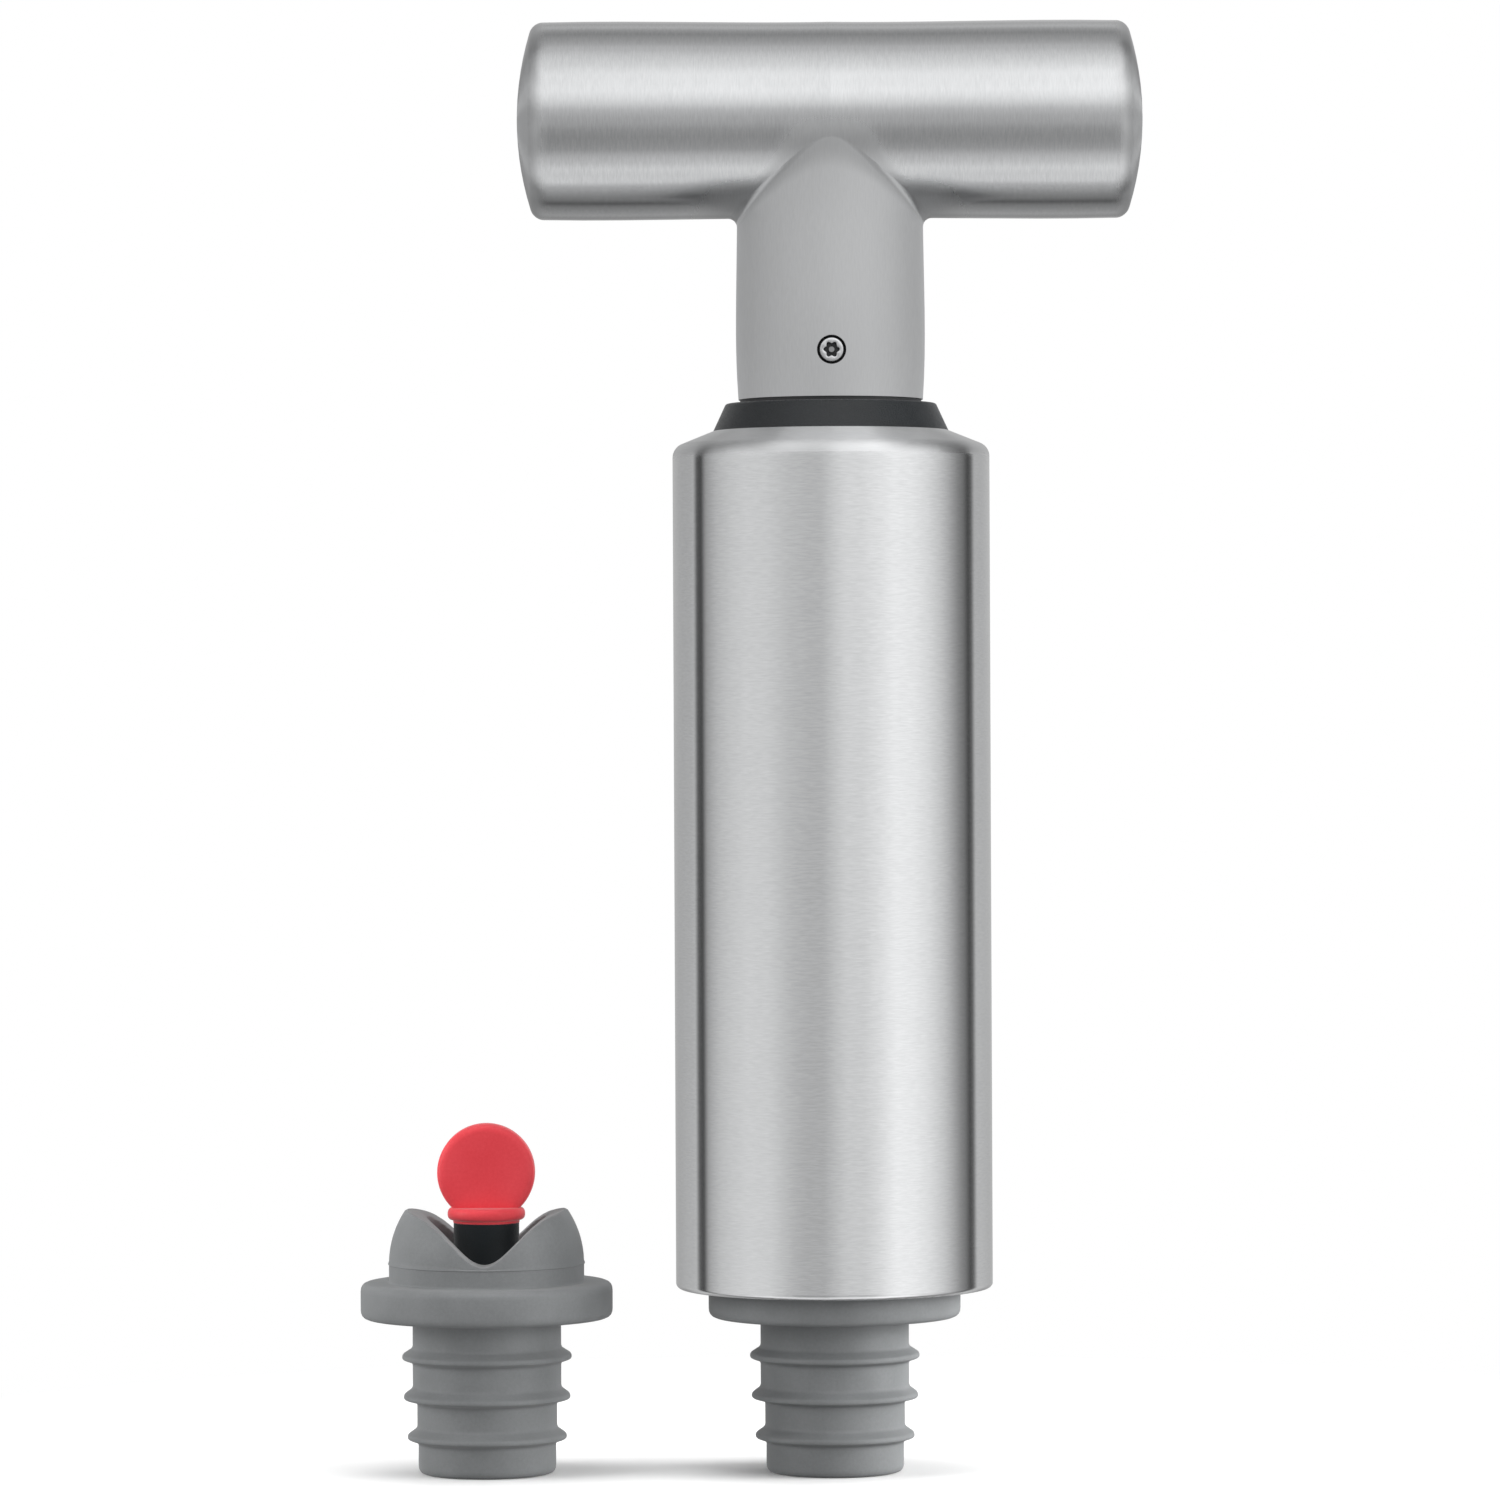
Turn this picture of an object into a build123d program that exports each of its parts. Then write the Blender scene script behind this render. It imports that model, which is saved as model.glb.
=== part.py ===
from build123d import *
from math import cos, radians, tan
import os

# Wine vacuum pump with one stopper under the barrel and a spare stopper beside it.
# Millimetres, +Z up, the cross bar along X and the handle screw towards -Y.
# The origin is the middle of the foot of the stopper that carries the pump.

# Fits shared by all pieces
bond_gap = 0.02
slip_gap = 0.10
running_gap = 0.04
overrun = 3.0

# Stopper: silicone plug, flange and crown
plug_wall = 2.7
plug_taper = 0.68
plug_foot_edge = 1.0
rib_low_reach = 1.35
rib_top_reach = 1.32
first_rib_height = 4.6
rib_pitch = 5.0
rib_crest_width = 0.5
rib_crest_round = 0.24
rib_root_round = 0.35
rib_under_slope_height = 0.7
rib_upper_slope_height = 1.1
rib_crest_share = (0, 0.7, 1)
flange_underside_height = 19.4
flange_ledge = 3.55
flange_thickness = 4.5
flange_edge_round = 0.9
crown_wall = 4.8
crown_band_height = 2.3
crown_rise = 7.0
crown_side_radius = 12.0
crown_blank_height = 0.9
crown_valley_rise = 0.4
crown_cup_gap = 0.4
crown_rim_round = 0.6
spare_stopper_gap = 7.95
# Saddle line of the crown from its valley past its peak, across and up
saddle_share = ((0, 0), (0.17, 0.09), (0.40, 0.40), (0.60, 0.68), (0.80, 0.87), (1.15, 1))

# Stopper: hard valve cage
cage_wall = 1.2
cage_floor = 1.8
cage_flange_width = 1.1
cage_flange_thickness = 1.2
cage_flange_height_over_flange = 1.5
seat_depth = 6.2
chamber_gap = 0.25
lip_height = 1.8
lip_slot_width = 1.4
lip_slot_count = 4
foot_hub_radius = 1.1
foot_port_radius = 0.75
foot_port_count = 6

# Stopper: valve plug, seal and pull tab
stem_radius = 4.1
stem_height_over_cup = 5.9
plug_bead_height = 1.1
plug_bead_step = 0.35
valve_seal_thickness = 1.0
valve_seal_gap = 0.4
valve_seal_overlap = 1.4
stud_head_gap = 0.4
stud_head_step = 0.5
stud_head_height = 1.3
tongue_width = 5.0
tongue_thickness = 1.5
tongue_height = 5.0
tongue_hole_radius = 0.9
tab_disc_radius = 6.1
tab_disc_thickness = 4.0
tab_edge_round = 1.0
tab_disc_gap = 0.2
tab_band_height = 0.35
tab_bead_step = 0.75
tab_bead_height = 1.6
tab_bead_round = 0.7
valve_lift = 2.0

# Barrel: outer sleeve and collar
barrel_length = 105.0
sleeve_wall = 1.0
sleeve_foot_round = 0.7
sleeve_corner_round = 1.8
shoulder_angle = 22
shoulder_width = 5.1
flange_recess = 0.9
collar_lean = 1.58
collar_height = 3.4
collar_overhang = 0.7
collar_wall = 1.9
collar_edge_round = 0.4
collar_snap_step = 0.4
collar_snap_height = 1.0
collar_rod_gap = 0.5
collar_rib_count = 6
collar_rib_thickness = 1.2

# Barrel: pump cylinder, guide cap and base socket
cylinder_wall = 1.6
locating_ring_height = 2.0
locating_ring_reach = 2.1
locating_ring_share = (0.12, 0.5, 0.88)
cylinder_end_chamfer = 0.5
guide_flange_thickness = 2.0
guide_depth = 3.0
guide_boss_wall = 3.0
guide_spigot_wall = 2.2
guide_shoulder_gap = 1.0
guide_vent_radius = 1.0
guide_vent_count = 4
socket_inset = 0.3
socket_bell_gap = 0.5
socket_bell_wall = 1.9
socket_recess_gap = 0.35
socket_recess_depth = 0.3
socket_floor_thickness = 2.0
socket_skirt_height = 12.0
socket_skirt_wall = 1.5
socket_foot_wall = 2.6
socket_rib_count = 6
socket_rib_thickness = 1.4
socket_shoulder_thickness = 2.0
tab_headroom = 1.7
base_rim_height = 1.5
base_ring_height = 4.6
base_ring_wall = 2.6
base_plate = 2.0
base_port_radius = 1.25
base_port_circle = 6.0
base_port_count = 6
gasket_thickness = 1.8
gasket_inset = 0.6
ring_groove_depth = 1.6
ring_groove_side_gap = 0.34
ring_groove_edge = 1.0

# Plunger: rod, piston and floating seal
piston_floor_gap = 0.5
stroke_end_gap = 0.5
piston_lower_land = 3.0
piston_upper_land = 2.0
piston_rim_wall = 1.8
piston_top_plate = 2.6
piston_hub_radius = 5.2
piston_rib_count = 6
piston_rib_thickness = 1.4
vent_slot_count = 8
vent_slot_width = 2.4
vent_slot_step = 0.4
piston_seal_section = 2.6
piston_seal_float = 1.4
rod_radius = 6.0
rod_blade_thickness = 2.4
rod_root_round = 0.6
rod_foot_step = 1.4
rod_foot_thickness = 2.0
rod_core_radius = 3.2
rod_core_height = 5.0
rod_spigot_depth = 4.0
tenon_step = 1.0
tenon_height = 14.0
piston_screw_radius = 1.5
piston_screw_head_radius = 2.9
piston_screw_head_height = 2.0
piston_screw_reach = 7.0
piston_screw_inset = 0.6
driver_socket_width = 2.5
driver_socket_depth = 1.2

# Handle
bumper_thickness = 0.5
bumper_inset = 0.2
neck_inset = 1.6
neck_length = 34.9
neck_middle_swell = 0.27
neck_middle_share = 0.32
neck_waist_swell = 0.1
neck_waist_share = 0.62
neck_under_bar = 0.25
bar_over_neck = 0.85
bar_length = 78.1
bar_dome_radius = 37.5
bar_end_round = 1.8
bar_waist_draw = 0.13
bar_waist_share = 0.34
bar_crest_share = 0.76
bar_tip_draw = 0.1
handle_wall = 1.0
junction_round = 1.1
insert_height = 18.0
insert_floor = 2.0
insert_boss_wall = 2.2
insert_ring_wall = 1.6
insert_rib_count = 6
insert_rib_thickness = 1.4
handle_screw_height = 5.7
handle_screw_head_radius = 1.5
handle_screw_head_height = 1.6
handle_screw_radius = 1.1
handle_screw_reach = 7.6
handle_screw_seat = 0.35
screw_window_gap = 0.3
hex_recess_width = 1.6
hex_recess_depth = 0.8

# Radii worked out from the stem outwards, each piece round the one before it
chamber_radius = stem_radius + plug_bead_step + chamber_gap
valve_seal_radius = chamber_radius - valve_seal_gap
seat_bore_radius = valve_seal_radius - valve_seal_overlap
stud_head_radius = seat_bore_radius - stud_head_gap
seal_stud_radius = stud_head_radius - stud_head_step
cage_radius = chamber_radius + cage_wall
cage_flange_radius = cage_radius + cage_flange_width
plug_tip_radius = cage_radius + plug_wall
plug_waist_radius = plug_tip_radius + plug_taper
rib_low_crest_radius = plug_tip_radius + rib_low_reach
rib_top_crest_radius = plug_waist_radius + rib_top_reach
tab_bead_radius = stem_radius + tab_bead_step
crown_cup_radius = cage_flange_radius + crown_cup_gap
crown_band_radius = crown_cup_radius + crown_wall
flange_radius = crown_band_radius + flange_ledge
bell_radius = crown_band_radius + socket_bell_gap
recess_radius = flange_radius + socket_recess_gap
inner_skin_radius = recess_radius + socket_foot_wall
sleeve_bore = inner_skin_radius + slip_gap
barrel_radius = sleeve_bore + sleeve_wall
cylinder_radius = inner_skin_radius - locating_ring_reach
bore_radius = cylinder_radius - cylinder_wall
bore_fit_radius = bore_radius - slip_gap
piston_groove_radius = bore_fit_radius - piston_seal_section - slip_gap
collar_base_radius = barrel_radius - shoulder_width
collar_top_radius = collar_base_radius - collar_lean
collar_spigot_radius = collar_base_radius - collar_overhang
sleeve_mouth = collar_spigot_radius + slip_gap
neck_foot_radius = collar_top_radius - neck_inset
bar_radius = neck_foot_radius + bar_over_neck
insert_radius = neck_foot_radius - handle_wall - slip_gap
rod_foot_radius = rod_radius + rod_foot_step
tenon_radius = rod_radius - tenon_step
spare_stopper_distance = barrel_radius + spare_stopper_gap + flange_radius
pump_axis = Axis.Z

# Heights worked out from the sizes above
flange_top_z = flange_underside_height + flange_thickness
crown_band_z = flange_top_z + crown_band_height
crown_valley_z = crown_band_z + crown_valley_rise
crown_top_z = crown_band_z + crown_rise
cup_floor_z = flange_top_z + cage_flange_height_over_flange
seat_z = cup_floor_z - seat_depth
stem_top_z = cup_floor_z + stem_height_over_cup
tab_centre_z = stem_top_z + tab_disc_gap + tab_disc_radius
tab_top_z = tab_centre_z + tab_disc_radius
barrel_foot_z = flange_top_z - flange_recess
barrel_corner_z = barrel_foot_z + barrel_length
socket_room_z = tab_top_z + valve_lift + tab_headroom
cylinder_floor_z = socket_room_z + base_ring_height
guide_top_z = barrel_corner_z - guide_shoulder_gap
cylinder_top_z = guide_top_z - guide_flange_thickness
guide_foot_z = cylinder_top_z - guide_depth
piston_foot_z = cylinder_floor_z + piston_floor_gap
groove_foot_z = piston_foot_z + piston_lower_land
groove_top_z = groove_foot_z + piston_seal_section + piston_seal_float
piston_top_z = groove_top_z + piston_upper_land
rod_core_top_z = piston_top_z + rod_core_height
piston_stroke = guide_foot_z - stroke_end_gap - rod_core_top_z

# The shoulder is a shallow cone that rises from the sleeve's corner to the collar
shoulder_slope = tan(radians(shoulder_angle))
collar_base_z = barrel_corner_z + (barrel_radius - collar_base_radius) * shoulder_slope
collar_top_z = collar_base_z + collar_height
neck_foot_z = collar_top_z + bumper_thickness
bar_z = neck_foot_z + neck_length


def section_plane(centre_x):
    """Upright plane through an axis at centre_x, with x across and y up."""
    return Plane((centre_x, 0, 0), x_dir=(1, 0, 0), z_dir=(0, -1, 0))


def level_plane(centre_x, height):
    """Level plane at a height, centred on the axis at centre_x."""
    return Plane((centre_x, 0, height))


def save(piece, name):
    """Label a finished piece and write it under its own name."""
    piece.part.label = name
    export_step(piece.part, f"parts/{name}.step")


def shoulder_height(radius):
    """Height of the sleeve's outer shoulder at a radius."""
    return barrel_corner_z + (barrel_radius - radius) * shoulder_slope


def crown_radius(height):
    """Radius of the crown's outer arc at a height above its parting line."""
    return crown_band_radius - crown_side_radius + (crown_side_radius**2 - height**2) ** 0.5


def make_stopper_body(name, centre_x):
    """Silicone plug with three ribs, a flange, and a crown cut to a saddle with two peaks."""
    blank_top_z = crown_top_z + crown_blank_height
    blank_radius = crown_radius(crown_rise + crown_blank_height)
    peak_radius = crown_radius(crown_rise)
    upright_axis = Axis((centre_x, 0, 0), (0, 0, 1))
    cores = (plug_tip_radius, plug_tip_radius, plug_waist_radius, plug_waist_radius)
    outline = [(cage_radius + bond_gap, 0), (plug_tip_radius, 0)]
    rounds = [plug_foot_edge]
    for number, share in enumerate(rib_crest_share):
        height = first_rib_height + number * rib_pitch
        crest = rib_low_crest_radius + share * (rib_top_crest_radius - rib_low_crest_radius)
        outline += [
            (cores[number], height - rib_under_slope_height),
            (crest, height - rib_crest_width / 2),
            (crest, height + rib_crest_width / 2),
            (cores[number + 1], height + rib_upper_slope_height),
        ]
        rounds += [rib_root_round, rib_crest_round, rib_crest_round, rib_root_round]
    outline += [
        (plug_waist_radius, flange_underside_height),
        (flange_radius, flange_underside_height),
        (flange_radius, flange_top_z),
        (crown_band_radius, flange_top_z),
        (crown_band_radius, crown_band_z),
    ]
    rounds += [rib_root_round, flange_edge_round, flange_edge_round, rib_root_round]
    with BuildPart() as body:
        with BuildSketch(section_plane(centre_x)):
            with BuildLine():
                FilletPolyline(*outline, radius=rounds)
                TangentArc((crown_band_radius, crown_band_z), (blank_radius, blank_top_z), tangent=(0, 1))
                Polyline(
                    (blank_radius, blank_top_z),
                    (crown_cup_radius, blank_top_z),
                    (crown_cup_radius, cup_floor_z),
                    (cage_flange_radius + bond_gap, cup_floor_z),
                    (cage_flange_radius + bond_gap, cup_floor_z - cage_flange_thickness),
                    (cage_radius + bond_gap, cup_floor_z - cage_flange_thickness),
                    (cage_radius + bond_gap, 0),
                )
            make_face()
        revolve(axis=upright_axis)
        # The saddle leaves a valley at the front and back and a peak at each side
        rise = crown_top_z - crown_valley_z
        rim = [(across * peak_radius, crown_valley_z + up * rise) for across, up in saddle_share]
        with BuildSketch(section_plane(centre_x)):
            with BuildLine():
                Spline(*rim, tangents=((1, 0), (1, 0)))
                Polyline(
                    rim[-1],
                    (flange_radius, crown_top_z),
                    (flange_radius, blank_top_z + overrun),
                    (0, blank_top_z + overrun),
                    rim[0],
                )
            make_face()
            mirror(about=Plane.YZ)
        extrude(amount=flange_radius, both=True, mode=Mode.SUBTRACT)
        rim_edges = body.edges().filter_by(lambda edge: edge.bounding_box().max.Z > crown_valley_z + bond_gap)
        rim_edges = rim_edges.filter_by(lambda edge: edge.bounding_box().min.Z > crown_band_z + bond_gap)
        fillet(rim_edges, crown_rim_round)
    save(body, name)
    return body


def make_valve_cage(name, centre_x):
    """Hard core: ported foot, flat valve seat, chamber, and a slotted lip that keeps the plug."""
    upright_axis = Axis((centre_x, 0, 0), (0, 0, 1))
    lip_foot_z = cup_floor_z - lip_height
    lip_radius = stem_radius + slip_gap
    with BuildPart() as cage:
        with BuildSketch(section_plane(centre_x)):
            with BuildLine():
                Polyline(
                    (0, 0),
                    (cage_radius, 0),
                    (cage_radius, cup_floor_z - cage_flange_thickness),
                    (cage_flange_radius, cup_floor_z - cage_flange_thickness),
                    (cage_flange_radius, cup_floor_z),
                    (lip_radius, cup_floor_z),
                    (lip_radius, lip_foot_z),
                    (chamber_radius, lip_foot_z),
                    (chamber_radius, seat_z),
                    (seat_bore_radius, seat_z),
                    (seat_bore_radius, cage_floor),
                    (0, cage_floor),
                    close=True,
                )
            make_face()
        revolve(axis=upright_axis)
        # Air slots through the lip
        with BuildSketch(level_plane(centre_x, lip_foot_z)):
            with PolarLocations(0, lip_slot_count // 2, start_angle=45):
                Rectangle(2 * chamber_radius, lip_slot_width)
        extrude(amount=lip_height + overrun, mode=Mode.SUBTRACT)
        # Air ports round the hub of the foot
        with BuildSketch(level_plane(centre_x, 0)):
            with PolarLocations((foot_hub_radius + seat_bore_radius) / 2, foot_port_count):
                Circle(min(foot_port_radius, (seat_bore_radius - foot_hub_radius) / 2))
        extrude(amount=cage_floor, mode=Mode.SUBTRACT)
    save(cage, name)
    return cage


def make_valve_plug(name, centre_x):
    """Dark valve stem with a snap bead, a stud for the seal, and a tongue inside the tab."""
    upright_axis = Axis((centre_x, 0, 0), (0, 0, 1))
    bead_foot_z = seat_z + valve_seal_thickness
    with BuildPart() as plug:
        with BuildSketch(section_plane(centre_x)):
            with BuildLine():
                Polyline(
                    (0, seat_z - stud_head_height),
                    (stud_head_radius, seat_z - stud_head_height),
                    (stud_head_radius, seat_z - bond_gap),
                    (seal_stud_radius, seat_z - bond_gap),
                    (seal_stud_radius, bead_foot_z),
                    (stem_radius + plug_bead_step, bead_foot_z),
                    (stem_radius + plug_bead_step, bead_foot_z + plug_bead_height - plug_bead_step),
                    (stem_radius, bead_foot_z + plug_bead_height),
                    (stem_radius, stem_top_z),
                    (0, stem_top_z),
                    close=True,
                )
            make_face()
        revolve(axis=upright_axis)
        with BuildSketch(level_plane(centre_x, stem_top_z)):
            Rectangle(tongue_width, tongue_thickness)
        extrude(amount=tongue_height)
        with BuildSketch(section_plane(centre_x)):
            with Locations((0, stem_top_z + tongue_height / 2)):
                Circle(tongue_hole_radius)
        extrude(amount=tongue_thickness, both=True, mode=Mode.SUBTRACT)
    save(plug, name)
    return plug


def make_valve_seal(name, centre_x):
    """Flat ring on the stud, resting on the valve seat."""
    with BuildPart() as seal:
        with BuildSketch(level_plane(centre_x, seat_z)):
            Circle(valve_seal_radius)
            Circle(seal_stud_radius + bond_gap, mode=Mode.SUBTRACT)
        extrude(amount=valve_seal_thickness)
    save(seal, name)
    return seal


def make_pull_tab(name, centre_x):
    """Soft tab: an upright disc with rounded rims over a beaded ring."""
    upright_axis = Axis((centre_x, 0, 0), (0, 0, 1))
    bead_top_z = stem_top_z + tab_band_height + tab_bead_height
    with BuildPart() as tab:
        with BuildSketch(section_plane(centre_x)):
            with Locations((0, tab_centre_z)):
                Circle(tab_disc_radius)
        extrude(amount=tab_disc_thickness / 2, both=True)
        fillet(tab.edges().filter_by(GeomType.CIRCLE), tab_edge_round)
        with BuildSketch(section_plane(centre_x)):
            with BuildLine():
                FilletPolyline(
                    (0, stem_top_z),
                    (stem_radius, stem_top_z),
                    (stem_radius, stem_top_z + tab_band_height),
                    (tab_bead_radius, stem_top_z + tab_band_height),
                    (tab_bead_radius, bead_top_z),
                    (0, bead_top_z),
                    radius=(0, 0, tab_bead_round, tab_bead_round),
                )
                Line((0, bead_top_z), (0, stem_top_z))
            make_face()
        revolve(axis=upright_axis)
        # Pocket for the tongue of the plug
        with BuildSketch(level_plane(centre_x, stem_top_z)):
            Rectangle(tongue_width + 2 * bond_gap, tongue_thickness + 2 * bond_gap)
        extrude(amount=tongue_height + bond_gap, mode=Mode.SUBTRACT)
    save(tab, name)
    return tab


os.makedirs("parts", exist_ok=True)

# The two stoppers are alike: one carries the pump and the spare one stands beside it
for prefix, stopper_x in (("", 0), ("spare_", -spare_stopper_distance)):
    make_stopper_body(f"{prefix}stopper_body", stopper_x)
    make_valve_cage(f"{prefix}valve_cage", stopper_x)
    make_valve_plug(f"{prefix}valve_plug", stopper_x)
    make_valve_seal(f"{prefix}valve_seal", stopper_x)
    make_pull_tab(f"{prefix}pull_tab", stopper_x)

# Outer sleeve: a drawn steel tube with a shallow shoulder rolled in to the collar
shoulder_drop = sleeve_wall / cos(radians(shoulder_angle))
inner_corner_z = shoulder_height(sleeve_bore) - shoulder_drop
with BuildPart() as outer_sleeve:
    with BuildSketch(Plane.XZ):
        with BuildLine():
            FilletPolyline(
                (sleeve_bore, barrel_foot_z),
                (barrel_radius, barrel_foot_z),
                (barrel_radius, barrel_corner_z),
                (sleeve_mouth, shoulder_height(sleeve_mouth)),
                (sleeve_mouth, shoulder_height(sleeve_mouth) - shoulder_drop),
                radius=(sleeve_foot_round, sleeve_corner_round, 0),
            )
            Polyline(
                (sleeve_mouth, shoulder_height(sleeve_mouth) - shoulder_drop),
                (sleeve_bore, inner_corner_z),
                (sleeve_bore, barrel_foot_z),
            )
        make_face()
    revolve(axis=pump_axis)
save(outer_sleeve, "outer_sleeve")

# Base socket: a bell over the stopper inside a ribbed skirt
gasket_outer = recess_radius - gasket_inset
gasket_top_z = flange_top_z + gasket_thickness
socket_foot_z = barrel_foot_z + socket_inset
socket_floor_z = gasket_top_z + socket_floor_thickness
skirt_top_z = socket_foot_z + socket_skirt_height
bell_outer = bell_radius + socket_bell_wall
skirt_inner = inner_skin_radius - socket_skirt_wall
groove_floor_radius = bore_fit_radius - ring_groove_depth
cylinder_seal_section = bore_radius - groove_floor_radius - 2 * bond_gap
ring_groove_height = cylinder_seal_section + ring_groove_side_gap
ring_foot_z = cylinder_floor_z - ring_groove_edge - ring_groove_height
cylinder_foot_z = ring_foot_z - ring_groove_edge
bell_top_z = cylinder_foot_z - socket_shoulder_thickness
base_rim_z = bell_top_z - base_rim_height
with BuildPart() as base_socket:
    with BuildSketch(Plane.XZ):
        with BuildLine():
            Polyline(
                (recess_radius, socket_foot_z),
                (inner_skin_radius, socket_foot_z),
                (inner_skin_radius, skirt_top_z),
                (skirt_inner, skirt_top_z),
                (skirt_inner, socket_floor_z),
                (bell_outer, socket_floor_z),
                (bell_outer, bell_top_z),
                (bell_radius, bell_top_z),
                (bell_radius, gasket_top_z),
                (gasket_outer, gasket_top_z),
                (gasket_outer, flange_top_z + socket_recess_depth),
                (recess_radius, flange_top_z + socket_recess_depth),
                close=True,
            )
        make_face()
    revolve(axis=pump_axis)
    # Ribs that tie the bell to the skirt, and taller ones that carry the rim of the cylinder's floor
    bell_middle = (bell_outer + bell_radius) / 2
    rib_spans = ((inner_skin_radius - slip_gap, skirt_top_z), (cylinder_radius, base_rim_z))
    for rib_reach, rib_top_z in rib_spans:
        with BuildSketch(Plane.XY.offset(socket_floor_z)):
            with PolarLocations((bell_middle + rib_reach) / 2, socket_rib_count):
                Rectangle(rib_reach - bell_middle, socket_rib_thickness)
        extrude(amount=rib_top_z - socket_floor_z)
save(base_socket, "base_socket")

# Floor of the cylinder: a ported plate in a grooved ring, its rim capped over the bell
base_plate_z = cylinder_floor_z - base_plate
with BuildPart() as cylinder_base:
    with BuildSketch(Plane.XZ):
        with BuildLine():
            Polyline(
                (bell_outer + slip_gap, base_rim_z),
                (cylinder_radius, base_rim_z),
                (cylinder_radius, cylinder_foot_z),
                (bore_fit_radius, cylinder_foot_z),
                (bore_fit_radius, ring_foot_z),
                (groove_floor_radius, ring_foot_z),
                (groove_floor_radius, ring_foot_z + ring_groove_height),
                (bore_fit_radius, ring_foot_z + ring_groove_height),
                (bore_fit_radius, cylinder_floor_z),
                (0, cylinder_floor_z),
                (0, base_plate_z),
                (groove_floor_radius - base_ring_wall, base_plate_z),
                (groove_floor_radius - base_ring_wall, socket_room_z),
                (bell_radius, socket_room_z),
                (bell_radius, bell_top_z),
                (bell_outer + slip_gap, bell_top_z),
                close=True,
            )
        make_face()
    revolve(axis=pump_axis)
    # Air ports through the plate
    with BuildSketch(Plane.XY.offset(base_plate_z)):
        with PolarLocations(base_port_circle, base_port_count):
            Circle(base_port_radius)
    extrude(amount=base_plate, mode=Mode.SUBTRACT)
save(cylinder_base, "cylinder_base")

# Flat gasket that seals the socket on the stopper's flange
with BuildPart() as socket_gasket:
    with BuildSketch(Plane.XY.offset(flange_top_z)):
        Circle(gasket_outer - bond_gap)
        Circle(bell_radius, mode=Mode.SUBTRACT)
    extrude(amount=gasket_thickness)
save(socket_gasket, "socket_gasket")

# Round ring in the groove of the cylinder's floor
with BuildPart() as cylinder_seal:
    with BuildSketch(Plane.XZ):
        with Locations(((bore_radius + groove_floor_radius) / 2, ring_foot_z + ring_groove_height / 2)):
            Circle(cylinder_seal_section / 2)
    revolve(axis=pump_axis)
save(cylinder_seal, "cylinder_seal")

# Pump cylinder with rings that centre it in the sleeve
cylinder_length = cylinder_top_z - cylinder_foot_z
with BuildPart() as inner_cylinder:
    with BuildSketch(Plane.XY.offset(cylinder_foot_z)):
        Circle(cylinder_radius)
        Circle(bore_radius, mode=Mode.SUBTRACT)
    extrude(amount=cylinder_length)
    for share in locating_ring_share:
        ring_z = cylinder_foot_z + share * cylinder_length - locating_ring_height / 2
        with BuildSketch(Plane.XY.offset(ring_z)):
            Circle(inner_skin_radius)
            Circle(cylinder_radius - cylinder_wall / 2, mode=Mode.SUBTRACT)
        extrude(amount=locating_ring_height)
    outer_ends = inner_cylinder.edges().filter_by(GeomType.CIRCLE).group_by(Axis.Z)[-1].sort_by(SortBy.RADIUS)
    chamfer(outer_ends[0], cylinder_end_chamfer)
save(inner_cylinder, "inner_cylinder")


def rod_cross(clearance):
    """Cross-shaped section of the rod with rounded roots, widened by a clearance."""
    with BuildSketch() as cross:
        Rectangle(2 * (rod_radius + clearance), rod_blade_thickness + 2 * clearance)
        Rectangle(rod_blade_thickness + 2 * clearance, 2 * (rod_radius + clearance))
        Circle(rod_radius + clearance, mode=Mode.INTERSECT)
        roots = cross.vertices().group_by(SortBy.DISTANCE)[0]
        fillet(roots, rod_root_round - clearance)
    return cross.sketch


# Guide cap: closes the cylinder and keeps the cross-shaped rod from turning
spigot_inner = bore_fit_radius - guide_spigot_wall
guide_boss_radius = rod_radius + guide_boss_wall
with BuildPart() as rod_guide:
    with BuildSketch(Plane.XY.offset(cylinder_top_z)):
        Circle(cylinder_radius)
    extrude(amount=guide_flange_thickness)
    with BuildSketch(Plane.XY.offset(guide_foot_z)):
        Circle(bore_fit_radius - cylinder_end_chamfer)
        Circle(spigot_inner, mode=Mode.SUBTRACT)
        Circle(guide_boss_radius)
    extrude(amount=guide_depth)
    with BuildSketch(Plane.XY.offset(guide_foot_z)):
        add(rod_cross(running_gap))
    extrude(amount=guide_depth + guide_flange_thickness, mode=Mode.SUBTRACT)
    with BuildSketch(Plane.XY.offset(cylinder_top_z)):
        with PolarLocations((guide_boss_radius + spigot_inner) / 2, guide_vent_count, start_angle=45):
            Circle(guide_vent_radius)
    extrude(amount=guide_flange_thickness, mode=Mode.SUBTRACT)
save(rod_guide, "rod_guide")

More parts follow.
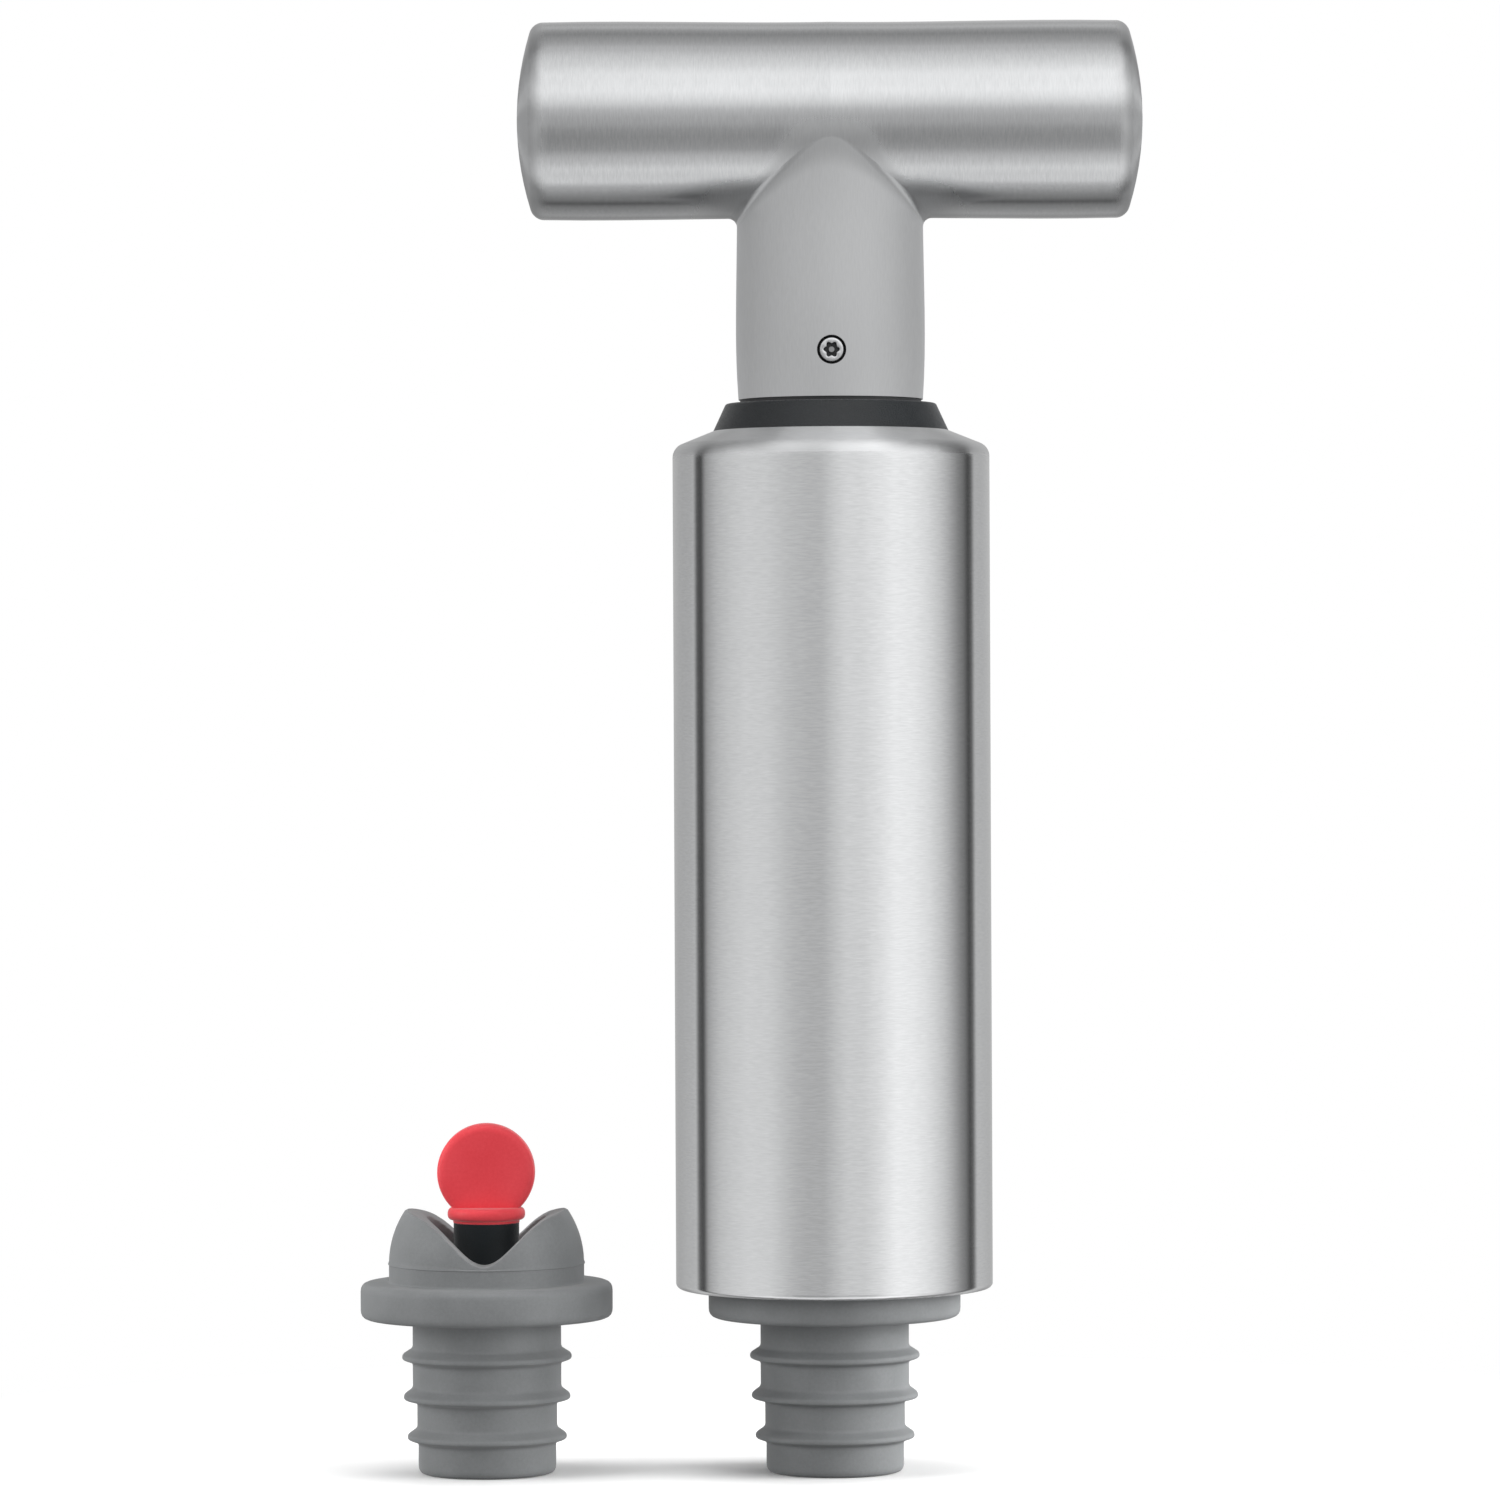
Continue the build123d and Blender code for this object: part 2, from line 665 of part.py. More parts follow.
# Collar: a short cone over a cored spigot that snaps into the mouth of the sleeve
collar_hole = rod_radius + collar_rod_gap
collar_roof_z = collar_top_z - collar_wall
snap_top_z = shoulder_height(collar_spigot_radius + collar_snap_step) - shoulder_drop - slip_gap
spigot_wall_inner = collar_spigot_radius - collar_wall
with BuildPart() as top_collar:
    with BuildSketch(Plane.XZ):
        with BuildLine():
            FilletPolyline(
                (collar_spigot_radius, shoulder_height(collar_spigot_radius)),
                (collar_base_radius, collar_base_z),
                (collar_top_radius, collar_top_z),
                (collar_hole, collar_top_z),
                radius=(0, collar_edge_round),
            )
            Polyline(
                (collar_hole, collar_top_z),
                (collar_hole, guide_top_z),
                (collar_hole + collar_wall, guide_top_z),
                (collar_hole + collar_wall, collar_roof_z),
                (spigot_wall_inner, collar_roof_z),
                (spigot_wall_inner, guide_top_z),
                (collar_spigot_radius, guide_top_z),
                (collar_spigot_radius, snap_top_z - collar_snap_height - collar_snap_step),
                (collar_spigot_radius + collar_snap_step, snap_top_z - collar_snap_height),
                (collar_spigot_radius + collar_snap_step, snap_top_z),
                (collar_spigot_radius, snap_top_z),
                (collar_spigot_radius, shoulder_height(collar_spigot_radius)),
            )
        make_face()
    revolve(axis=pump_axis)
    # Ribs between the rod tube and the spigot
    tube_middle = collar_hole + collar_wall / 2
    spigot_middle = spigot_wall_inner + collar_wall / 2
    with BuildSketch(Plane.XY.offset(snap_top_z)):
        with PolarLocations((tube_middle + spigot_middle) / 2, collar_rib_count):
            Rectangle(spigot_middle - tube_middle, collar_rib_thickness)
    extrude(amount=collar_roof_z - snap_top_z)
save(top_collar, "top_collar")

# Piston: cored disc with a wide ring groove, its upper land slotted for the air to leave
rim_inner = piston_groove_radius - piston_rim_wall
head_room_z = piston_foot_z + piston_screw_inset + piston_screw_head_height
with BuildPart() as piston_head:
    with BuildSketch(Plane.XZ):
        with BuildLine():
            Polyline(
                (piston_screw_head_radius + slip_gap, piston_foot_z),
                (piston_hub_radius, piston_foot_z),
                (piston_hub_radius, piston_top_z - piston_top_plate),
                (rim_inner, piston_top_z - piston_top_plate),
                (rim_inner, piston_foot_z),
                (bore_fit_radius, piston_foot_z),
                (bore_fit_radius, groove_foot_z),
                (piston_groove_radius, groove_foot_z),
                (piston_groove_radius, groove_top_z),
                (bore_fit_radius, groove_top_z),
                (bore_fit_radius, piston_top_z),
                (rod_core_radius + slip_gap, piston_top_z),
                (rod_core_radius + slip_gap, piston_top_z - rod_spigot_depth),
                (piston_screw_radius + slip_gap, piston_top_z - rod_spigot_depth),
                (piston_screw_radius + slip_gap, head_room_z),
                (piston_screw_head_radius + slip_gap, head_room_z),
                close=True,
            )
        make_face()
    revolve(axis=pump_axis)
    # Ribs under the piston, between its hub and its rim
    hub_middle = (piston_hub_radius + piston_screw_head_radius) / 2
    with BuildSketch(Plane.XY.offset(groove_foot_z)):
        with PolarLocations((hub_middle + piston_groove_radius - piston_rim_wall / 2) / 2, piston_rib_count):
            Rectangle(piston_groove_radius - piston_rim_wall / 2 - hub_middle, piston_rib_thickness)
        Circle(piston_hub_radius - bond_gap, mode=Mode.SUBTRACT)
    extrude(amount=piston_top_z - piston_top_plate - groove_foot_z)
    # Vent slots through the upper land
    slot_inner = piston_groove_radius + vent_slot_step
    slot_length = bore_radius + overrun - slot_inner
    with BuildSketch(Plane.XY.offset(groove_top_z)):
        with PolarLocations(slot_inner + slot_length / 2, vent_slot_count):
            Rectangle(slot_length, vent_slot_width)
    extrude(amount=piston_upper_land, mode=Mode.SUBTRACT)
save(piston_head, "piston_head")

# Floating seal: a round ring that rests on the lower land and lifts against the slotted one
with BuildPart() as piston_seal:
    with BuildSketch(Plane.XZ):
        with Locations(
            (
                bore_radius - running_gap - piston_seal_section / 2,
                groove_foot_z + running_gap + piston_seal_section / 2,
            )
        ):
            Circle(piston_seal_section / 2)
    revolve(axis=pump_axis)
save(piston_seal, "piston_seal")

# Rod: four blades between a foot on the piston and a round tenon in the handle
screw_hole = piston_screw_radius + bond_gap
rod_foot_top_z = piston_top_z + rod_foot_thickness
with BuildPart() as piston_rod:
    with BuildSketch(Plane.XY.offset(piston_top_z)):
        Circle(rod_foot_radius)
    extrude(amount=rod_foot_thickness)
    with BuildSketch(Plane.XY.offset(piston_top_z - rod_spigot_depth)):
        Circle(rod_core_radius)
    extrude(amount=rod_spigot_depth + rod_core_height)
    with BuildSketch(Plane.XY.offset(rod_foot_top_z)):
        add(rod_cross(0))
    extrude(amount=neck_foot_z - rod_foot_top_z)
    with BuildSketch(Plane.XY.offset(neck_foot_z)):
        Circle(tenon_radius)
    extrude(amount=tenon_height)
    with BuildSketch(Plane.XY.offset(piston_top_z - rod_spigot_depth)):
        Circle(screw_hole)
    extrude(amount=piston_screw_reach, mode=Mode.SUBTRACT)
    with BuildSketch(Plane.XZ):
        with Locations((0, neck_foot_z + handle_screw_height)):
            Circle(handle_screw_radius + bond_gap)
    extrude(amount=tenon_radius + overrun, mode=Mode.SUBTRACT)
save(piston_rod, "piston_rod")

# Screw that holds the piston on the rod, with a six-sided driver socket in its head
screw_head_foot_z = piston_foot_z + piston_screw_inset
with BuildPart() as piston_screw:
    with BuildSketch(Plane.XY.offset(screw_head_foot_z)):
        Circle(piston_screw_head_radius)
    extrude(amount=piston_screw_head_height)
    with BuildSketch(Plane.XY.offset(head_room_z)):
        Circle(piston_screw_radius)
    extrude(amount=piston_top_z - rod_spigot_depth + piston_screw_reach - slip_gap - head_room_z)
    with BuildSketch(Plane.XY.offset(screw_head_foot_z)):
        RegularPolygon(driver_socket_width / 2, 6, major_radius=False)
    extrude(amount=driver_socket_depth, mode=Mode.SUBTRACT)
save(piston_screw, "piston_screw")

# Bumper ring between the neck and the collar
with BuildPart() as bumper_ring:
    with BuildSketch(Plane.XY.offset(collar_top_z)):
        Circle(neck_foot_radius - bumper_inset)
        Circle(collar_hole, mode=Mode.SUBTRACT)
    extrude(amount=bumper_thickness)
save(bumper_ring, "bumper_ring")

# Handle insert: a floor, a boss for the tenon and a ring in the neck, tied by ribs
screw_z = neck_foot_z + handle_screw_height
screw_seat_y = -(insert_radius - handle_screw_seat)
boss_outer = tenon_radius + insert_boss_wall
ring_inner = insert_radius - insert_ring_wall
with BuildPart() as handle_insert:
    with BuildSketch(Plane.XY.offset(neck_foot_z)):
        Circle(insert_radius)
        Circle(tenon_radius + bond_gap, mode=Mode.SUBTRACT)
    extrude(amount=insert_floor)
    with BuildSketch(Plane.XY.offset(neck_foot_z + insert_floor)):
        Circle(insert_radius)
        Circle(ring_inner, mode=Mode.SUBTRACT)
        with PolarLocations((boss_outer + ring_inner) / 2, insert_rib_count):
            Rectangle(ring_inner - boss_outer + insert_boss_wall, insert_rib_thickness)
        Circle(boss_outer)
        Circle(tenon_radius + bond_gap, mode=Mode.SUBTRACT)
    extrude(amount=insert_height - insert_floor)
    with BuildSketch(Plane.XZ.offset(-screw_seat_y)):
        with Locations((0, screw_z)):
            Circle(handle_screw_head_radius + slip_gap)
    extrude(amount=overrun, mode=Mode.SUBTRACT)
    with BuildSketch(Plane.XZ):
        with Locations((0, screw_z)):
            Circle(handle_screw_radius + slip_gap)
    extrude(amount=insert_radius + overrun, mode=Mode.SUBTRACT)
save(handle_insert, "handle_insert")

# Screw in the front of the neck, with a six-sided recess in its head
with BuildPart() as handle_screw:
    with BuildSketch(Plane.XZ.offset(-screw_seat_y)):
        with Locations((0, screw_z)):
            Circle(handle_screw_head_radius)
    extrude(amount=handle_screw_head_height)
    with BuildSketch(Plane.XZ.offset(-screw_seat_y)):
        with Locations((0, screw_z)):
            Circle(handle_screw_radius)
    extrude(amount=-handle_screw_reach)
    with BuildSketch(Plane.XZ.offset(-screw_seat_y + handle_screw_head_height)):
        with Locations((0, screw_z)):
            RegularPolygon(hex_recess_width / 2, 6, major_radius=False)
    extrude(amount=-hex_recess_depth, mode=Mode.SUBTRACT)
save(handle_screw, "handle_screw")


def neck_and_bar(inset):
    """Solid of the neck run into the domed bar, with every face drawn in by an inset."""
    foot_radius = neck_foot_radius - inset
    middle_radius = foot_radius + neck_middle_swell
    middle_z = neck_foot_z + neck_middle_share * neck_length
    waist_radius = foot_radius + neck_waist_swell
    waist_z = neck_foot_z + neck_waist_share * neck_length
    half_bar = bar_length / 2 - inset
    dome_radius = bar_dome_radius - inset
    radius = bar_radius - inset
    tip_radius = radius - bar_tip_draw
    dome_depth = dome_radius - (dome_radius**2 - tip_radius**2) ** 0.5
    with BuildPart() as solid:
        # The neck swells a little above its foot, and again where it runs into the bar
        with BuildSketch(Plane.XZ):
            with BuildLine():
                Spline(
                    (foot_radius, neck_foot_z),
                    (middle_radius, middle_z),
                    (waist_radius, waist_z),
                    (radius - neck_under_bar, bar_z),
                )
                Polyline(
                    (radius - neck_under_bar, bar_z),
                    (0, bar_z),
                    (0, neck_foot_z),
                    (foot_radius, neck_foot_z),
                )
            make_face()
        revolve(axis=pump_axis)
        # The bar is a little slimmer at its middle and tips than between them
        with BuildSketch(Plane.XZ):
            with BuildLine():
                Line((0, bar_z), (0, bar_z + radius - bar_waist_draw))
                Spline(
                    (0, bar_z + radius - bar_waist_draw),
                    (bar_waist_share * half_bar, bar_z + radius - bar_waist_draw),
                    (bar_crest_share * half_bar, bar_z + radius),
                    (half_bar - dome_depth, bar_z + tip_radius),
                )
                RadiusArc(
                    (half_bar - dome_depth, bar_z + tip_radius),
                    (half_bar, bar_z),
                    dome_radius,
                )
                Line((half_bar, bar_z), (0, bar_z))
            make_face()
            mirror(about=Plane.YZ)
        revolve(axis=Axis((0, 0, bar_z), (1, 0, 0)))
    return solid


# T handle: formed steel shell, the round neck run into the domed bar with a soft corner between them
handle_core = neck_and_bar(handle_wall)
with BuildPart() as t_handle:
    add(neck_and_bar(0).part)
    circles = t_handle.edges().filter_by(GeomType.CIRCLE)
    end_rims = circles.filter_by(lambda edge: abs(edge.center().X) > bar_radius)
    fillet(end_rims, bar_end_round)
    side_lines = t_handle.edges().filter_by(lambda edge: edge.bounding_box().size.Y > junction_round)
    joint_lines = side_lines.filter_by(lambda edge: edge.geom_type != GeomType.CIRCLE)
    fillet(joint_lines, junction_round)
    add(handle_core.part, mode=Mode.SUBTRACT)
    with BuildSketch(Plane.XZ):
        with Locations((0, screw_z)):
            Circle(handle_screw_head_radius + screw_window_gap)
    extrude(amount=bar_radius + overrun, mode=Mode.SUBTRACT)
save(t_handle, "t_handle")

print(f"barrel radius {barrel_radius:.2f} mm, bore radius {bore_radius:.2f} mm")
print(f"piston stroke {piston_stroke:.2f} mm, overall height {bar_z + bar_radius:.2f} mm")
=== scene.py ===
import math

import bpy
import numpy as np
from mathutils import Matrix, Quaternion, Vector


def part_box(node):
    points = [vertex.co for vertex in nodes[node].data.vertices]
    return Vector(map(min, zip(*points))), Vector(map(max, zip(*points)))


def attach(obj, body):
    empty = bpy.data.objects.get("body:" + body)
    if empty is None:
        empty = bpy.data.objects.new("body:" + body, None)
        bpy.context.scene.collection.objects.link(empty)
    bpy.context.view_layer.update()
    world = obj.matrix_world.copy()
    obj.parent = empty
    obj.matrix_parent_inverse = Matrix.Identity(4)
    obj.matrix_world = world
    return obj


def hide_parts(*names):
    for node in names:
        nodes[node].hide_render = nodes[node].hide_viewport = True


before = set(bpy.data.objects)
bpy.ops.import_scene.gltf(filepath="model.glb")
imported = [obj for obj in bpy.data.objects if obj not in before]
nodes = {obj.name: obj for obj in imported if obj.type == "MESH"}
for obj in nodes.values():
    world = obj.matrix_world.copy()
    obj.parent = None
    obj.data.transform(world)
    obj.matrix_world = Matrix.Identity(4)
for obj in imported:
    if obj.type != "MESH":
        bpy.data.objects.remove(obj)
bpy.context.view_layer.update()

MM = 0.001

# Where things stand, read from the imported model
barrel_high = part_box("outer_sleeve")[1] / MM
handle_low, handle_high = [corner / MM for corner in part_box("t_handle")]
stopper_low, stopper_high = [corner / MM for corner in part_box("stopper_body")]
spare_low, spare_high = [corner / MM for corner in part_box("spare_stopper_body")]
screw_low, screw_high = [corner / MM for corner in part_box("handle_screw")]
tab_low, tab_high = [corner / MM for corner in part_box("pull_tab")]
spare_x = (spare_low.x + spare_high.x) / 2
bar_radius = (handle_high.y - handle_low.y) / 2
bar_half = (handle_high.x - handle_low.x) / 2
bar_z = handle_high.z - bar_radius
NECK_RADIUS = 11.6
# Faces that meet at more than this keep a crisp edge between them
SHARP_ANGLE = math.radians(32)


# Shared tools

def linear(hex_colour):
    """Linear RGBA of an sRGB colour written as #rrggbb."""
    shares = [int(hex_colour[place:place + 2], 16) / 255 for place in (1, 3, 5)]
    return (*[s / 12.92 if s <= 0.04045 else ((s + 0.055) / 1.055) ** 2.4 for s in shares], 1.0)


def set_inputs(tree, node, inputs):
    """Gives each input of a node a value, or a link from an output or from a node's first output in use.

    An input goes by its number, or by its name, where it is the first one in use that has that name."""
    for name, value in inputs.items():
        if isinstance(name, int):
            socket = node.inputs[name]
        else:
            socket = next(found for found in node.inputs if found.enabled and found.name == name)
        if isinstance(value, bpy.types.Node):
            value = next(found for found in value.outputs if found.enabled)
        if isinstance(value, bpy.types.NodeSocket):
            tree.links.new(value, socket)
        else:
            socket.default_value = value


def add_node(tree, kind, inputs=None, **settings):
    """Adds a shader node with its settings, and gives its inputs their values and links."""
    node = tree.nodes.new("ShaderNode" + kind)
    for name, value in settings.items():
        setattr(node, name, value)
    set_inputs(tree, node, inputs or {})
    return node


def new_material(name):
    """Empty node material, its tree and its surface shader."""
    material = bpy.data.materials.new(name)
    material.use_nodes = True
    tree = material.node_tree
    tree.nodes.clear()
    shader = add_node(tree, "BsdfPrincipled")
    add_node(tree, "OutputMaterial", {"Surface": shader})
    return material, tree, shader


def smooth_curve(x, places, heights):
    """Cubic through the given points, flat at both ends, with each inner slope taken from its neighbours."""
    places, heights = np.asarray(places, float), np.asarray(heights, float)
    slopes = np.zeros(len(places))
    slopes[1:-1] = (heights[2:] - heights[:-2]) / (places[2:] - places[:-2])
    x = np.clip(x, places[0], places[-1])
    k = np.clip(np.searchsorted(places, x) - 1, 0, len(places) - 2)
    width = places[k + 1] - places[k]
    t = (x - places[k]) / width
    start = heights[k] * (1 + 2 * t) * (1 - t) ** 2 + width * slopes[k] * t * (1 - t) ** 2
    return start + heights[k + 1] * (3 - 2 * t) * t**2 + width * slopes[k + 1] * (t - 1) * t**2


def rounded_outline(corners, reaches, steps=6):
    """Outline through (corner, 2) points, in which a parabola rounds each corner between the two ends.

    The parabola touches both sides of its corner at the corner's reach along them."""
    corners = np.asarray(corners, float)
    t = np.linspace(0, 1, steps)[:, None]
    pieces = [corners[:1]]
    for before, corner, after, reach in zip(corners, corners[1:], corners[2:], reaches):
        back, ahead = before - corner, after - corner
        start = corner + back / np.linalg.norm(back) * reach
        end = corner + ahead / np.linalg.norm(ahead) * reach
        pieces.append((1 - t) ** 2 * start + 2 * t * (1 - t) * corner + t**2 * end)
    return np.vstack([*pieces, corners[-1:]])


def even_and_soften(lines, count, reach, fine=400):
    """Points every equal length along each (line, point, 2) outline, averaged over a reach along it.

    The average is taken over so many fine points, and as many as count of them are kept."""
    steps = np.linalg.norm(np.diff(lines, axis=1), axis=2)
    length = np.concatenate([np.zeros((len(lines), 1)), np.cumsum(steps, axis=1)], axis=1)
    even = np.empty((len(lines), fine, 2))
    for number in range(len(lines)):
        wanted = np.linspace(0, length[number, -1], fine)
        for axis in range(2):
            even[number, :, axis] = np.interp(wanted, length[number], lines[number, :, axis])
    pitch = length[:, -1].mean() / fine
    half = max(1, int(round(reach / pitch)))
    weights = np.hanning(2 * half + 3)[1:-1]
    weights /= weights.sum()
    padded = np.pad(even, ((0, 0), (half, half), (0, 0)), mode="edge")
    soft = sum(weight * padded[:, shift:shift + fine] for shift, weight in enumerate(weights))
    soft[:, 0], soft[:, -1] = even[:, 0], even[:, -1]
    return soft[:, np.linspace(0, fine - 1, count).round().astype(int)]


def shell(rings, foot_pole=None, top_pole=None, loop=False):
    """Points and faces of the closed surface through (ring, place, 3) points.

    Each ring closes on itself. The first and last ring close in a fan at a pole, or the last ring
    runs on into the first when loop is set. Rings go up and places go anticlockwise for an outer face."""
    ring_count, place_count = rings.shape[:2]
    points = rings.reshape(-1, 3)
    here = np.arange(place_count)
    after = (here + 1) % place_count
    ring = np.arange(ring_count if loop else ring_count - 1)[:, None] * place_count
    above = (ring + place_count) % len(points)
    faces = [np.stack([ring + here, ring + after, above + after, above + here], axis=-1).reshape(-1, 4)]
    last = (ring_count - 1) * place_count
    for pole, first, second in ((foot_pole, after, here), (top_pole, last + here, last + after)):
        if pole is not None:
            points = np.vstack([points, pole])
            faces.append(np.stack([np.full(place_count, len(points) - 1), first, second], axis=1))
    return points, faces


def mesh_of(name, *shells):
    """One mesh in metres out of closed shells in millimetres, smooth but for its sharp edges."""
    corners, faces, start = [], [], 0
    for points, groups in shells:
        corners.append(points * MM)
        for group in groups:
            faces += (group + start).tolist()
        start += len(points)
    mesh = bpy.data.meshes.new(name)
    mesh.from_pydata(np.vstack(corners).tolist(), [], faces)
    mesh.shade_smooth()
    mesh.set_sharp_from_angle(angle=SHARP_ANGLE)
    return mesh


def dress(name, mesh, material, body, slot, *replaced):
    """Puts a finished mesh in the scene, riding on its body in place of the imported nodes."""
    piece = bpy.data.objects.new(name, mesh)
    bpy.context.scene.collection.objects.link(piece)
    mesh.materials.append(material)
    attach(piece, body)
    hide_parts(*replaced)


# Materials

# Noise from 0 to 1 seldom leaves this part of it, so this part is drawn out to the range that is wanted
USUAL = {"From Min": 0.3, "From Max": 0.7}
# Octaves of detail in a broad pattern and in a fine one
BROAD = 2.0
FINE = 4.0
# Waves in a millimetre along and across the scratches. Real 240 grit scratches are about 0.05 mm
# apart, too fine for the picture, so they are drawn about 0.2 mm apart
SCRATCH_ALONG = 0.8
SCRATCH_ACROSS = 6.0
SCRATCH_DEPTH = 0.0005
# The same for the broad clouds that the belt leaves, and their share of the steel's tone
CLOUD_ALONG = 0.1
CLOUD_ACROSS = 0.4
CLOUD_SHARE = 0.15
# How far the scratches lower and raise the steel's roughness
RIPPLE = {"To Min": 0.93, "To Max": 1.07}
BELT_ROUGHNESS = 0.165
BLENDED_ROUGHNESS = 0.42
SHOULDER_ROUGHNESS = 0.36
NECK_ROUGHNESS = 0.4
# How far under the barrel's top its blended shoulder starts and is full
SHOULDER_START = 4.2
SHOULDER_FULL = 2.9
# Waves in a millimetre along x, y and z in the marks on a screw, and how far behind the front of its
# head the painted shade in its recess starts and is full
MARK_WAVES = (3.0, 3.0, 3.0)
RECESS_SHADE_START = 0.03
RECESS_SHADE_FULL = 0.2
# The same waves in the spark grain and the flow of moulded plastic. Real grain is about 0.1 mm
# across and is drawn about 0.25 mm across, so that it shows
GRAIN_WAVES = (4.0, 4.0, 4.0)
GRAIN_ROUGHNESS = 0.65
PLASTIC_FLOW = (0.12, 0.12, 0.12)
# The same in the tooling rings, the dust and the flow of silicone. Real tooling marks are about
# 0.05 mm apart and are drawn about 0.3 mm apart, so that they show
RING_WAVES = (0.15, 0.15, 3.2)
DUST_WAVES = (2.5, 2.5, 2.5)
DUST_ROUGHNESS = 0.7
SILICONE_FLOW = (0.18, 0.18, 0.18)
SILICONE_IOR = 1.42
SILICONE_RELIEF = 0.012
# How far the roughness of moulded plastic and of silicone swings either way
PLASTIC_SWING = 0.06
SILICONE_SWING = 0.05


def pattern(tree, waves, detail=3.0, roughness=0.55):
    """Soft irregular pattern from 0 to 1, with so many waves in a millimetre along each axis."""
    place = add_node(tree, "TexCoord").outputs["Object"]
    waves_in_metre = tuple(count / MM for count in waves)
    scaled = add_node(tree, "VectorMath", {0: place, 1: waves_in_metre}, operation="MULTIPLY")
    inputs = {"Vector": scaled, "Scale": 1.0, "Detail": detail, "Roughness": roughness}
    return add_node(tree, "TexNoise", inputs)


def two_tone(tree, share, dark, light):
    """Colour that passes between two hex colours over a pattern's usual range."""
    drawn_out = add_node(tree, "MapRange", {"Value": share, **USUAL})
    inputs = {"Factor": drawn_out, "A": linear(dark), "B": linear(light)}
    return add_node(tree, "Mix", inputs, data_type="RGBA")


def steel_tone(tree, lines, clouds, dark, light):
    """Colour that wanders between two hex colours with the scratches, and a little with broad clouds."""
    share = add_node(tree, "Mix", {"Factor": CLOUD_SHARE, "A": lines, "B": clouds})
    return two_tone(tree, share, dark, light)


def steel_finish(tree, shader, tone, lines, spread_direction, roughness):
    """Colour, roughness, scratches and stretched gloss of brushed stainless steel.

    The belt leaves fine parallel scratches, so the gloss spreads wide across them and stays crisp
    along them, and the eye sees silky bands with soft streaks."""
    ripple = add_node(tree, "MapRange", {"Value": lines, **USUAL, **RIPPLE})
    set_inputs(tree, shader, {
        "Metallic": 1.0,
        "Anisotropic": 1.0,
        "Base Color": tone,
        "Roughness": add_node(tree, "Math", {0: ripple, 1: roughness}, operation="MULTIPLY"),
        "Normal": add_node(tree, "Bump", {"Height": lines, "Distance": SCRATCH_DEPTH * MM}),
        "Tangent": spread_direction,
    })


def barrel_steel():
    """Stainless steel tube, belt brushed while it turned, so its scratches run round it."""
    material, tree, shader = new_material("brushed_stainless_steel_barrel")
    lines = pattern(tree, (SCRATCH_ALONG, SCRATCH_ALONG, SCRATCH_ACROSS))
    clouds = pattern(tree, (CLOUD_ALONG, CLOUD_ALONG, CLOUD_ACROSS), BROAD)
    tone = steel_tone(tree, lines, clouds, "#d0d1d2", "#dadbdc")
    # The shoulder was spun over and blended by hand, so its gloss spreads both ways
    place = add_node(tree, "TexCoord").outputs["Object"]
    height = add_node(tree, "SeparateXYZ", {0: place}).outputs["Z"]
    start, full = barrel_high.z - SHOULDER_START, barrel_high.z - SHOULDER_FULL
    inputs = {"Value": height, "From Min": start * MM, "From Max": full * MM}
    shoulder = add_node(tree, "MapRange", inputs, interpolation_type="SMOOTHSTEP")
    roughness = add_node(tree, "Mix", {"Factor": shoulder, "A": BELT_ROUGHNESS, "B": SHOULDER_ROUGHNESS})
    upright = add_node(tree, "CombineXYZ", {"X": 0.0, "Y": 0.0, "Z": 1.0})
    steel_finish(tree, shader, tone, lines, upright, roughness)
    return material


def handle_zones(tree, place):
    """Share of each zone of the handle's skin, which passes smoothly from 0 to 1 by a measure."""
    axes = add_node(tree, "SeparateXYZ", {0: place}).outputs
    sideways = add_node(tree, "Math", {0: axes["X"]}, operation="ABSOLUTE")
    in_section = add_node(tree, "VectorMath", {0: place, 1: (0, 1, 1)}, operation="MULTIPLY")
    to_bar = add_node(tree, "VectorMath", {0: in_section, 1: (0, 0, bar_z * MM)}, operation="DISTANCE")
    in_plan = add_node(tree, "VectorMath", {0: place, 1: (1, 1, 0)}, operation="MULTIPLY")
    to_axis = add_node(tree, "VectorMath", {0: in_plan}, operation="LENGTH")
    # The neck is whatever lies further from the bar's middle line than the bar's own skin.
    # Each row has the measure, and the millimetres at which the zone starts and is full
    rows = {
        "neck": (to_bar, bar_radius + 0.02, bar_radius + 1.3),
        "bar_end": (sideways, bar_half - 4.5, bar_half - 2.0),
        "at_seam": (to_axis, NECK_RADIUS + 2.2, NECK_RADIUS + 0.6),
        "lower_half": (axes["Z"], bar_z + 2.0, bar_z - 4.0),
        "beside_neck": (to_axis, NECK_RADIUS + 9.0, NECK_RADIUS + 1.5),
        "underside": (axes["Z"], bar_z - 7.0, bar_z - 9.5),
    }
    share = {}
    for zone, (measure, start, full) in rows.items():
        inputs = {"Value": measure, "From Min": start * MM, "From Max": full * MM}
        share[zone] = add_node(tree, "MapRange", inputs, interpolation_type="SMOOTHSTEP")
    return share


